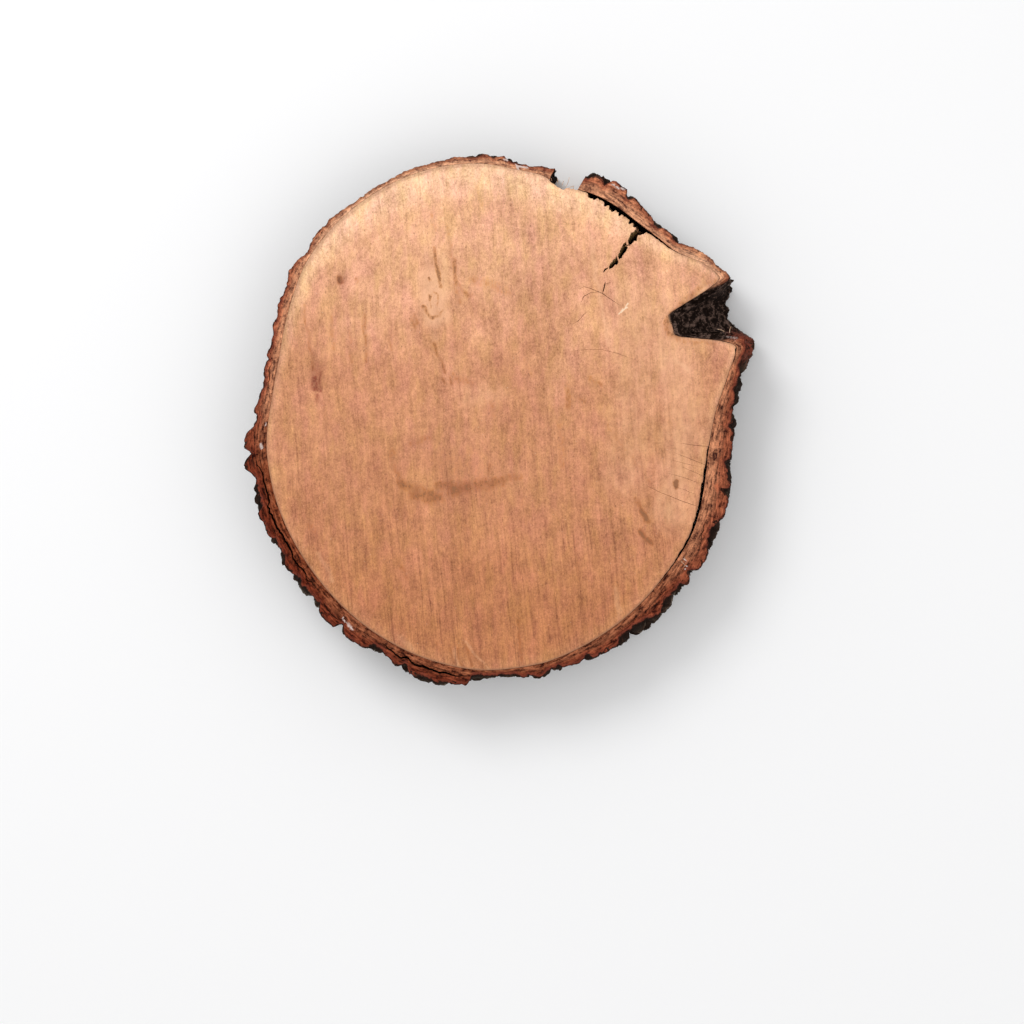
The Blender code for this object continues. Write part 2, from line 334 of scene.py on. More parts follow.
# Studio: pale floor, one large soft light from the upper left, a weaker one opposite
studio = {
    "floorSize": 8.0,
    "floorColour": (0.95, 0.95, 0.955),
    "skyColour": (1.0, 1.0, 1.0),
    "skyStrength": 0.76,
    "lights": [  # name, place, size, power
        ("keyLight", (-0.75, 0.95, 1.35), 0.9, 10.5),
        ("fillLight", (1.2, -0.6, 1.5), 1.4, 3.0),
    ],
}


def addStudio():
    half = studio["floorSize"] / 2
    mesh = meshFrom("floor", [(-half, -half, 0), (half, -half, 0), (half, half, 0), (-half, half, 0)], [(0, 1, 2, 3)])
    floor = newObject("floor", mesh)
    material, tree, surface = newMaterial("paleFloor")
    place, _ = objectPlace(tree)
    tint = noiseAt(tree, place, 0.002, 2.0)
    colour = studio["floorColour"]
    worn = tuple(c * 0.985 for c in colour)
    tree.links.new(mixColour(tree, tint, colour, worn).socket, surface.inputs["Base Color"])
    surface.inputs["Roughness"].default_value = 0.7
    mesh.materials.append(material)
    for name, spot, size, power in studio["lights"]:
        lamp = bpy.data.lights.new(name, "AREA")
        lamp.shape = "DISK"
        lamp.size = size
        lamp.energy = power
        holder = newObject(name, lamp)
        holder.location = spot
        aim = Vector((0.0, 0.0, 0.02)) - Vector(spot)
        holder.rotation_euler = aim.to_track_quat("-Z", "Y").to_euler()
    world = bpy.data.worlds.new("studio")
    world.use_nodes = True
    sky = world.node_tree.nodes["Background"]
    sky.inputs["Color"].default_value = (*studio["skyColour"], 1.0)
    sky.inputs["Strength"].default_value = studio["skyStrength"]
    bpy.context.scene.world = world
    bpy.context.scene.view_settings.view_transform = "Standard"


addCamera()
addStudio()
print("camera, floor and lights set")

# Wood: millimetres in the lists of marks, measured from the origin
wood = {
    "columns": [(0.0, 43.0, 0.0013), (43.0, 76.0, 0.0005), (76.0, 360.0, 0.0013)],  # bearings, step
    "levels": [
        0.0, 0.0006, 0.002, 0.005, 0.010, 0.016, 0.022, 0.028, 0.032, 0.035, 0.0372, 0.0387, 0.0396, 0.040],
    "edgeInset": 0.00004,
    "gridAcross": 0.0008,
    "gridAlong": 0.0013,
    "underGrid": 0.0035,
    "sawLean": 0.09,  # how far the saw marks lean, sideways per length
    "sawSpacing": 0.0026,
    "sawDepth": 0.00010,
    "tears": [  # bearings, depth of the torn edge, depth of its teeth
        (44.0, 66.0, 0.0003, 0.0017), (306.0, 344.0, 0.0004, 0.0004), (66.0, 75.5, 0.0009, 0.0008),
        (35.0, 47.0, 0.0005, 0.0004),
        (4.0, 25.0, 0.0005, 0.0003)],
    "pith": (-0.0055, 0.0066),
    "markWander": 1.5,
    "markShift": (0.75, -0.9),  # moves every mark and crack in the lists, in mm
    "fineGrid": 0.0004,
    "fineSpots": [(64.5, 57.0, 5.0), (-96.5, 17.5, 9.0), (-35.0, 63.0, 13.0), (92.5, -34.5, 4.0)],  # x, y, reach in mm
    "crackLean": 0.75,
    "cracks": [  # route in mm, width at its start and end, depth at its start and end
        ([(80.3, 107.6), (74.9, 100.8), (70.9, 96.7), (66.9, 92.4)], 5.6, 4.0, 30, 27),
        ([(65.4, 90.6), (66.9, 91.1), (68.4, 90.7)], 0.9, 0.3, 8, 2),
        ([(66.0, 91.4), (64.0, 88.4), (61.6, 84.5)], 2.8, 2.9, 24, 18),
        ([(61.1, 84.0), (58.9, 81.4), (57.0, 79.2)], 3.0, 2.4, 17, 12),
        ([(56.5, 79.4), (54.8, 78.5), (53.8, 76.8)], 1.0, 0.9, 8, 6),
        ([(54.9, 71.9), (54.2, 69.0), (53.3, 65.8)], 0.9, 0.5, 7, 4),
        ([(57.6, 71.5), (55.6, 71.0)], 0.5, 0.4, 2, 2),
        ([(40.6, 68.1), (43.9, 69.5), (48.7, 67.8), (53.1, 65.9), (58.0, 62.5), (62.6, 59.5)], 0.32, 0.36, 3, 3),
        ([(42.2, 61.3), (43.6, 64.2), (46.8, 66.1), (50.2, 66.5)], 0.42, 0.25, 3, 2),
        ([(37.3, 49.7), (40.6, 51.4), (43.3, 54.4), (45.5, 56.6)], 0.26, 0.32, 2, 2),
        ([(34.9, 35.4), (44.0, 36.4), (52.8, 36.5), (61.2, 34.4), (69.0, 31.2)], 0.18, 0.26, 1, 1.5),
        ([(73.2, -33.3), (83.7, -38.4), (94.0, -42.6), (104.4, -46.2)], 0.18, 0.32, 1, 3),
        ([(91.5, -12.2), (100.0, -13.6), (109.4, -14.6)], 0.16, 0.30, 1, 3),
        ([(90.0, -17.3), (99.0, -20.9), (108.4, -24.6)], 0.16, 0.30, 1, 3),
        ([(93.4, -24.5), (100.8, -27.6), (108.0, -31.0)], 0.15, 0.26, 1, 2),
        ([(87.0, -20.7), (96.0, -23.2), (104.5, -25.2)], 0.14, 0.22, 1, 1.5),
        ([(86.5, -28.0), (95.0, -30.4), (103.5, -33.4)], 0.14, 0.24, 1, 1.5),
        ([(88.9, -34.5), (96.0, -37.0), (102.0, -39.6)], 0.14, 0.22, 1, 1.5),
    ],
    "sapWidth": [  # bearing, width of the pale outer wood in mm
        (0, 5), (10, 2.5), (20, 2.5), (28, 7), (45, 12), (75, 22), (105, 25), (130, 20), (150, 12), (180, 6),
        (215, 8), (250, 9), (280, 8), (305, 9), (335, 8)],
}


def jaggedWedge(route, widthStart, widthEnd, depthStart, depthEnd, seed):
    # Cutter with a V section and torn, uneven walls; sizes in mm
    shift = wood["markShift"]
    path = [Vector((x + shift[0], y + shift[1])) for x, y in route]
    lengths = [(b - a).length for a, b in zip(path, path[1:])]
    total = sum(lengths)
    count = max(4, round(total / 0.7))
    stations = []
    for k in range(count + 1):
        run, i = total * k / count, 0
        while i < len(lengths) - 1 and run > lengths[i]:
            run -= lengths[i]
            i += 1
        stations.append((path[i].lerp(path[i + 1], run / lengths[i]), (path[i + 1] - path[i]).normalized()))
    points, loop = [], 8
    for k, (here, along) in enumerate(stations):
        t = k / count
        width = widthStart + (widthEnd - widthStart) * t
        depth = depthStart + (depthEnd - depthStart) * t
        taper = min(1.0, 0.22 + 3.0 * t, 0.22 + 3.0 * (1.0 - t)) if width < 1.2 else 1.0 - 0.45 * t ** 6
        side = Vector((-along.y, along.x))
        left = 0.5 * width * taper * (1.0 + 0.50 * noise.noise(Vector((k * 0.53, seed, 0.1))))
        right = 0.5 * width * taper * (1.0 + 0.50 * noise.noise(Vector((k * 0.53, seed, 7.3))))
        drift = 0.22 * width * noise.noise(Vector((k * 0.31, seed, 3.9)))
        here = here + side * drift
        for across, down in ((left, -1.5), (left, 0.0), (left * 0.84, depth * 0.3), (left * 0.50, depth),
                             (left * 0.22, depth), (-right * 0.05, depth * 0.2), (-right, 0.0), (-right, -1.5)):
            spot = here + side * across + along * (wood["crackLean"] * across)
            points.append((spot.x / 1000, spot.y / 1000, thickness - down / 1000))
    faces = []
    for k in range(count):
        for i in range(loop):
            j = (i + 1) % loop
            faces.append((k * loop + i, (k + 1) * loop + i, (k + 1) * loop + j, k * loop + j))
    faces.append(tuple(range(loop)))
    faces.append(tuple(range(count * loop, (count + 1) * loop)))
    return points, faces


def crackCutter():
    points, faces = [], []
    for seed, (route, *sizes) in enumerate(wood["cracks"]):
        morePoints, moreFaces = jaggedWedge(route, *sizes, seed=seed + 0.5)
        shift = len(points)
        points += morePoints
        faces += [tuple(i + shift for i in face) for face in moreFaces]
    mesh = cleaned(meshFrom("crackCutter", points, faces), 1e-7)
    return newObject("crackCutter", mesh)


def filledFace(loop, across, along, lean, margin):
    # Triangles inside a closed loop: the loop's points first, then a grid that lies along the saw marks
    low, high = loop.min(axis=0), loop.max(axis=0)
    v = np.arange(low[1], high[1], along)
    u = np.arange(low[0] - 0.02, high[0] + 0.02, across)
    grid = [(x - lean * y, y + (0.5 * along if i % 2 else 0.0)) for i, x in enumerate(u) for y in v]
    grid = np.array(grid)
    angle = np.degrees(np.arctan2(grid[:, 1] - trunk["axis"][1], grid[:, 0] - trunk["axis"][0]))
    away = np.hypot(grid[:, 0] - trunk["axis"][0], grid[:, 1] - trunk["axis"][1])
    grid = grid[away < woodRadius(angle, thickness) + 0.002]
    for x, y, reach in wood["fineSpots"] if lean else []:
        steps = np.arange(-reach / 1000, reach / 1000, wood["fineGrid"])
        extra = np.array([(x / 1000 + a, y / 1000 + b) for a in steps for b in steps])
        extra = extra[np.hypot(extra[:, 0] - x / 1000, extra[:, 1] - y / 1000) < reach / 1000]
        clear = np.hypot(grid[:, 0] - x / 1000, grid[:, 1] - y / 1000) > (reach + 0.3) / 1000
        grid = np.concatenate([grid[clear], extra])
    tree = kdtree.KDTree(len(loop))
    for i, p in enumerate(loop):
        tree.insert((p[0], p[1], 0.0), i)
    tree.balance()
    kept = [p for p in grid if tree.find((p[0], p[1], 0.0))[2] > margin]
    flat = [Vector(p) for p in loop] + [Vector(p) for p in kept]
    border = [(i, (i + 1) % len(loop)) for i in range(len(loop))]
    spots, _, faces, _, _, _ = geometry.delaunay_2d_cdt(flat, border, [list(range(len(loop)))], 1, 1e-7)
    return np.array([(p.x, p.y) for p in spots]), faces


def woodMesh():
    bearings = np.concatenate([evenBearings(*section)[:-1] for section in wood["columns"]])
    rings = []
    for z in wood["levels"]:
        fromFace = min(z, thickness - z)
        inset = wood["edgeInset"] * (1.0 - ease(fromFace / 0.0006))
        radius = woodRadius(bearings, z) - inset
        near = placed(bearings, radius, z)
        fibre = sampled(lambda p: noise.noise(Vector((p.x * 900, p.y * 900, p.z * 60))), near)
        torn = sampled(lambda p: noise.noise(Vector((p.x * 330, p.y * 330, p.z * 90 + 5))), near)
        teeth = sampled(lambda p: noise.noise(Vector((p.x * 640, p.y * 640, p.z * 45 + 2))), near)
        tear = 0.00002 * (1.0 + fibre)
        for start, end, depth, bite in wood["tears"]:
            inside = ease((bearings - start) / 1.5) * ease((end - bearings) / 1.5)
            upper = 0.35 + 0.65 * ease((z - 0.024) / 0.014)
            share = depth * np.clip(0.30 + 0.9 * torn + 0.5 * fibre, 0.0, 1.0)
            share = share + bite * np.clip(0.30 + 2.4 * teeth + 0.5 * fibre, 0.0, 1.0)
            tear = tear + inside * upper * share
        rings.append(placed(bearings, radius - tear, z))
    count = len(bearings)
    points = [p for ring in rings for p in ring]
    faces = []
    for k in range(len(rings) - 1):
        for i in range(count):
            j = (i + 1) % count
            faces.append((k * count + i, k * count + j, (k + 1) * count + j, (k + 1) * count + i))
    top, topFaces = filledFace(rings[-1][:, :2], wood["gridAcross"], wood["gridAlong"], wood["sawLean"], 0.0007)
    low, lowFaces = filledFace(rings[0][:, :2], wood["underGrid"], wood["underGrid"], 0.0, 0.0015)
    for spots, more, z in ((top, topFaces, thickness), (low, lowFaces, 0.0)):
        shift = len(points)
        points += [(x, y, z) for x, y in spots]
        faces += [tuple(i + shift for i in face) for face in more]
    return cleaned(meshFrom("woodFine", points, faces), 2e-6)


def sawnFaceTree():
    # Lowers the upper face and raises the lower one by shallow, nearly straight saw marks
    tree = bpy.data.node_groups.new("sawnFace", "GeometryNodeTree")
    tree.interface.new_socket("Geometry", in_out="INPUT", socket_type="NodeSocketGeometry")
    inputs = {}
    for name, value in (("Mark spacing", wood["sawSpacing"]), ("Mark depth", wood["sawDepth"]),
                        ("Lean", wood["sawLean"]), ("Thickness", thickness)):
        socket = tree.interface.new_socket(name, in_out="INPUT", socket_type="NodeSocketFloat")
        socket.default_value = value
        inputs[name] = (socket.identifier, value)
    finish = tree.interface.new_socket("Finish", in_out="INPUT", socket_type="NodeSocketMaterial")
    tree.interface.new_socket("Geometry", in_out="OUTPUT", socket_type="NodeSocketGeometry")
    start = tree.nodes.new("NodeGroupInput")
    end = tree.nodes.new("NodeGroupOutput")

    def given(name):
        return Wire(tree, start.outputs[name])

    place = add(tree, "GeometryNodeInputPosition", {}, {})
    split = tree.nodes.new("ShaderNodeSeparateXYZ")
    tree.links.new(place.socket, split.inputs[0])
    x, y, z = (Wire(tree, split.outputs[i]) for i in range(3))
    across = (x + y * given("Lean")) / given("Mark spacing")
    along = (y - x * given("Lean")) / given("Mark spacing")
    marks = noiseAt(tree, vector(tree, across, along * 0.012, z * 300.0), 1.0, 2.0, 0.6)
    broad = noiseAt(tree, vector(tree, across * 0.16, along * 0.02, z * 300.0 + 9.0), 1.0, 1.0)
    lumpy = noiseAt(tree, vector(tree, x * 260.0, y * 260.0, z * 300.0), 1.0, 3.0, 0.6)
    depth = given("Mark depth") * (marks * 1.1 + broad * 0.9 + lumpy * 0.35)
    upper = (z - given("Thickness") + 0.00001).rising(-0.00001, 0.0)
    under = (0.00001 - z).rising(-0.00001, 0.0)
    rim = add(tree, "GeometryNodeInputNamedAttribute", {"data_type": "FLOAT"}, {"Name": "rimGap"})
    inner = rim.rising(0.0, 1.2)
    offset = vector(tree, 0.0, 0.0, depth * (under - upper) * inner)
    moved = add(tree, "GeometryNodeSetPosition", {}, {"Geometry": given("Geometry"), "Offset": offset})
    real = add(tree, "GeometryNodeRealizeInstances", {}, {0: moved})
    finished = add(tree, "GeometryNodeSetMaterial", {}, {"Geometry": real, "Material": given("Finish")})
    tree.links.new(finished.socket, end.inputs[0])
    return tree, inputs, finish.identifier


def nearness(spots, route, reach):
    # 1 on a route, 0 at reach from it; everything in mm
    best = np.full(len(spots), 1e9)
    route = np.array(route, float)
    if len(route) == 1:
        route = np.vstack([route, route + 1e-6])
    for a, b in zip(route, route[1:]):
        ab = b - a
        t = np.clip(((spots - a) @ ab) / (ab @ ab), 0.0, 1.0)
        best = np.minimum(best, np.linalg.norm(spots - (a + t[:, None] * ab), axis=1))
    return 1.0 - ease(best / reach)


# Marks on the upper face: route in mm, reach in mm, strength
stains = [
    ([(-57.0, -17.0), (-55.6, -25.0), (-52.5, -31.0)], 3.4, 0.45),
    ([(-52.5, -32.5), (-46.5, -35.5)], 4.6, 0.75),
    ([(-44.5, -37.6), (-38.0, -41.0), (-33.0, -40.6)], 7.0, 0.82),
    ([(-32.6, -35.0), (-27.0, -34.2)], 5.4, 0.78),
    ([(-25.0, -36.5), (-17.5, -35.4)], 6.4, 0.86),
    ([(-14.0, -34.6), (-6.0, -33.6), (0.0, -32.0)], 5.8, 0.80),
    ([(2.0, -30.6), (9.0, -30.2)], 4.2, 0.55),
    ([(-46.0, -12.0), (-38.0, -10.0)], 4.0, 0.42),
    ([(-6.5, -29.0), (-6.0, -24.0)], 1.6, 0.60),
    ([(-25.6, 23.5), (-21.0, 20.6), (-15.5, 18.6)], 4.8, 0.46),
    ([(-34.5, 40.2), (-33.3, 34.6), (-31.0, 29.8), (-29.4, 25.4)], 1.9, 0.78),
    ([(-30.6, 21.6), (-29.2, 19.4)], 1.3, 1.0),
    ([(-26.6, 21.4), (-25.6, 18.6)], 1.1, 0.80),
    ([(-36.2, 109.0), (-35.4, 99.0)], 2.6, 0.42),
    ([(-35.2, 90.5), (-33.6, 80.0), (-31.8, 70.0)], 2.0, 0.85),
    ([(-27.8, 101.5), (-26.4, 93.0), (-25.6, 86.5)], 2.2, 0.52),
    ([(-14.0, 73.5), (-4.0, 71.0), (3.0, 66.5)], 6.0, 0.42),
    ([(-24.5, 71.0), (-21.5, 62.0)], 3.0, 0.42),
    ([(-12.6, 122.0), (-10.5, 113.5)], 2.4, 0.40),
    ([(-84.3, 75.0), (-84.2, 73.0)], 2.9, 0.85),
    ([(-75.3, 74.5), (-75.2, 72.4)], 2.2, 0.60),
    ([(-103.7, 61.2), (-101.3, 44.0), (-98.6, 27.0)], 1.9, 0.52),
    ([(-89.0, 54.0), (-88.0, 38.0)], 2.6, 0.42),
    ([(-79.5, 47.0), (-78.0, 31.0)], 2.2, 0.35),
    ([(-72.0, 56.0), (-71.0, 44.0), (-70.5, 31.0)], 2.4, 0.62),
    ([(-58.4, 48.0), (-57.2, 36.0)], 1.6, 0.45),
    ([(-47.2, 53.4), (-44.5, 48.6)], 1.8, 0.55),
    ([(-93.0, 9.0), (-88.0, -12.0)], 3.0, 0.22),
    ([(34.4, 19.0), (35.6, 6.0)], 3.8, 0.50),
    ([(31.0, 0.0), (33.0, -24.5)], 4.6, 0.34),
    ([(12.0, 33.0), (16.0, 23.0)], 4.0, 0.26),
    ([(47.0, 21.0), (52.4, 17.4)], 3.0, 0.46),
    ([(40.6, 11.4), (44.0, 9.6)], 1.6, 0.60),
    ([(56.6, -2.9)], 1.5, 0.62),
    ([(91.2, -33.4), (91.9, -35.6)], 1.9, 1.5),
    ([(70.8, -41.6), (72.6, -46.5)], 2.4, 0.60),
    ([(73.0, -47.8), (76.4, -53.2)], 2.9, 1.25),
    ([(73.8, -58.4), (75.4, -62.6), (78.4, -65.2)], 2.8, 1.15),
    ([(55.9, -3.9), (67.0, -18.0), (78.5, -33.3)], 1.8, 0.34),
    ([(-18.0, -50.0), (-19.5, -92.0)], 1.5, 0.24),
    ([(12.0, -40.0), (15.0, -104.0)], 1.5, 0.26),
    ([(38.0, -58.0), (43.0, -98.0)], 1.6, 0.26),
    ([(-100.0, -55.0), (-97.0, -62.0)], 4.2, 0.46),
    ([(-53.0, -75.0), (-49.0, -82.0)], 3.2, 0.42),
    ([(-4.5, 7.2), (-3.6, 4.0)], 7.5, 0.40),
    ([(-37.1, 65.9), (-37.6, 63.6)], 1.2, 1.0),
    ([(-35.0, 68.0), (-37.7, 63.6), (-36.3, 59.0)], 0.9, 0.55),
    ([(-35.0, 68.0), (-33.0, 65.0), (-33.3, 60.3), (-33.0, 53.6)], 1.1, 0.60),
    ([(-18.6, -118.0), (-15.8, -128.0)], 1.6, 0.80),
    ([(-27.0, -117.0), (-24.5, -128.0)], 1.4, 0.62),
    ([(-22.0, -120.0), (-19.8, -129.0)], 1.2, 0.66),
    ([(-12.4, -125.6), (-9.6, -131.0)], 1.3, 0.60),
    ([(-33.2, -117.0), (-31.6, -124.0)], 1.4, 0.48),
    ([(9.4, -104.0), (10.8, -128.0)], 1.9, 0.60),
    ([(-28.0, -22.0), (-8.0, -30.0)], 26.0, 0.24),
    ([(-40.7, 59.6), (-38.7, 56.3), (-35.3, 54.0), (-32.0, 54.6)], 2.3, 0.80),
    ([(-32.0, 54.6), (-29.7, 56.8)], 1.2, 0.62),
    ([(-38.4, 74.2), (-37.8, 72.4)], 1.6, 0.85),
    ([(-24.3, 83.7), (-23.3, 71.0), (-19.3, 67.2), (-16.3, 65.0)], 2.4, 0.62),
    ([(-45.2, 55.0), (-43.6, 50.4)], 1.7, 0.60),
    ([(112.0, 72.5), (104.0, 67.6), (95.0, 60.5), (88.6, 54.6), (86.2, 49.2), (87.9, 44.6), (93.0, 42.0)], 3.2, 0.72),
    ([(96.0, 40.6), (104.0, 40.2), (112.0, 39.0)], 2.4, 0.55),
]
redMarks = [
    ([(-96.8, 28.0), (-96.4, 18.6)], 6.4, 0.55),
    ([(-97.6, 22.0), (-97.2, 17.6)], 3.8, 1.25),
    ([(-94.8, 24.4), (-94.6, 17.6)], 2.6, 0.90),
    ([(-97.8, 16.0), (-94.8, 16.4)], 2.0, 1.05),
    ([(-97.0, 13.2), (-96.6, 9.4)], 2.2, 0.75),
    ([(-84.3, 75.4), (-84.1, 72.6)], 3.0, 0.60),
    ([(-98.6, 34.0), (-97.4, 27.0)], 3.0, 0.50),
]
paleMarks = [
    ([(-35.6, 73.0), (-34.6, 56.0)], 14.0, 1.0),
    ([(-16.0, 12.0), (-2.0, 14.0)], 16.0, 0.35),
    ([(-30.0, 86.0), (-28.5, 68.0)], 4.6, 0.55),
    ([(-39.0, 87.0), (-38.0, 78.0)], 4.2, 0.50),
    ([(-36.0, 47.0), (-34.0, 43.0)], 5.0, 0.45),
    ([(46.5, 99.0), (51.0, 70.0), (56.5, 39.0)], 2.6, 0.55),
    ([(62.2, 55.4), (63.8, 57.8)], 0.8, 1.7),
    ([(63.4, 56.4), (66.2, 58.2)], 1.0, 1.8),
    ([(65.2, 58.0), (66.4, 60.4)], 0.8, 1.6),
    ([(86.0, 63.0), (83.0, 48.0), (86.0, 34.0)], 9.0, 0.40),
    ([(92.0, 31.0), (98.0, 25.6)], 2.8, 0.80),
    ([(105.0, 69.0), (108.0, 62.0)], 3.4, 0.55),
    ([(-18.8, -116.5), (-12.5, -123.5), (-6.5, -130.0)], 1.9, 0.44),
    ([(-24.0, -121.0), (-21.0, -131.0)], 3.0, 0.45),
    ([(88.0, 34.0), (96.0, 2.0), (90.0, -48.0)], 24.0, 0.55),
    ([(-52.0, -113.0), (-46.0, -121.0)], 3.0, 0.36),
    ([(60.0, -88.0), (62.0, -103.0)], 3.4, 0.35),
    ([(-96.0, -70.0), (-88.0, -84.0)], 3.6, 0.36),
    ([(68.0, 60.0), (72.0, 20.0), (66.0, -28.0)], 30.0, 0.42),
    ([(-30.5, 62.0), (-22.0, 59.0)], 5.0, 0.30),
]


def rimGaps(points):
    # Distance of each point from the wood's edge, in mm
    edge = np.arange(0.0, 360.0, 0.1)
    tree = kdtree.KDTree(len(edge))
    for i, p in enumerate(placed(edge, woodRadius(edge, thickness), 0.0)):
        tree.insert(p, i)
    tree.balance()
    return np.array([tree.find((x, y, 0.0))[2] * 1000 for x, y, _ in points])


def paintWood(mesh):
    # Masks that the finish reads, worked out from each point's own place
    points = pointsOf(mesh)
    shift = [noise.noise_vector(Vector((x * 210, y * 150, z * 20))) for x, y, z in points]
    spots = points[:, :2] * 1000 - wood["markShift"] + wood["markWander"] * np.array(shift)[:, :2]
    gap = rimGaps(points)
    edge = np.arange(0.0, 360.0, 0.1)
    bearing = np.degrees(np.arctan2(points[:, 1] - trunk["axis"][1], points[:, 0] - trunk["axis"][0]))
    width = np.interp(bearing % 360, *np.array(wood["sapWidth"]).T, period=360)
    whole = placed(edge, outlineRadius(edge, 1), 0.0)[:, :2] - wood["pith"]
    turn = np.degrees(np.arctan2(whole[:, 1], whole[:, 0])) % 360
    order = np.argsort(turn)
    fromPith = points[:, :2] - wood["pith"]
    reach = np.interp(
        np.degrees(np.arctan2(fromPith[:, 1], fromPith[:, 0])) % 360,
        turn[order], np.linalg.norm(whole, axis=1)[order], period=360)
    upper = (points[:, 2] > thickness / 2).astype(float)
    setAttribute(mesh, "rimGap", gap)
    setAttribute(mesh, "sapwood", (1.0 - ease((gap - 0.15 * width) / (0.85 * width))) * np.clip(width / 15, 0, 1))
    setAttribute(mesh, "ringShare", np.linalg.norm(fromPith, axis=1) / reach)
    for name, marks in (("stain", stains), ("redMark", redMarks), ("paleMark", paleMarks)):
        total = np.zeros(len(points))
        for route, size, strength in marks:
            total = np.maximum(total, strength * nearness(spots, route, size))
        setAttribute(mesh, name, total * upper)


# Colours are linear
woodFinish = {
    "low": (0.500, 0.190, 0.072),
    "middle": (0.632, 0.281, 0.135),
    "high": (0.835, 0.440, 0.238),
    "sap": (0.97, 0.590, 0.340),
    "sapLow": (0.66, 0.320, 0.150),
    "shadeDark": (0.50, 0.42, 0.37),
    "shadeLight": (1.50, 1.58, 1.64),
    "pink": (1.03, 0.95, 1.10),
    "ochre": (0.99, 1.01, 0.90),
    "stain": (0.255, 0.108, 0.046),
    "smudge": (0.72, 0.58, 0.40),
    "fleck": (0.240, 0.095, 0.045),
    "red": (0.36, 0.16, 0.12),
    "pale": (0.93, 0.52, 0.295),
    "bright": (1.0, 0.76, 0.54),
    "speck": (1.0, 0.80, 0.62),
    "wall": (0.46, 0.310, 0.120),
    "wallDarkAndShade": (0.040, 0.016, 0.010),
    "underBark": (0.30, 0.135, 0.070),
    "fibre": (0.74, 0.48, 0.29),
    "roughness": (0.50, 0.66),
    "bumpDepth": 0.00022,
}


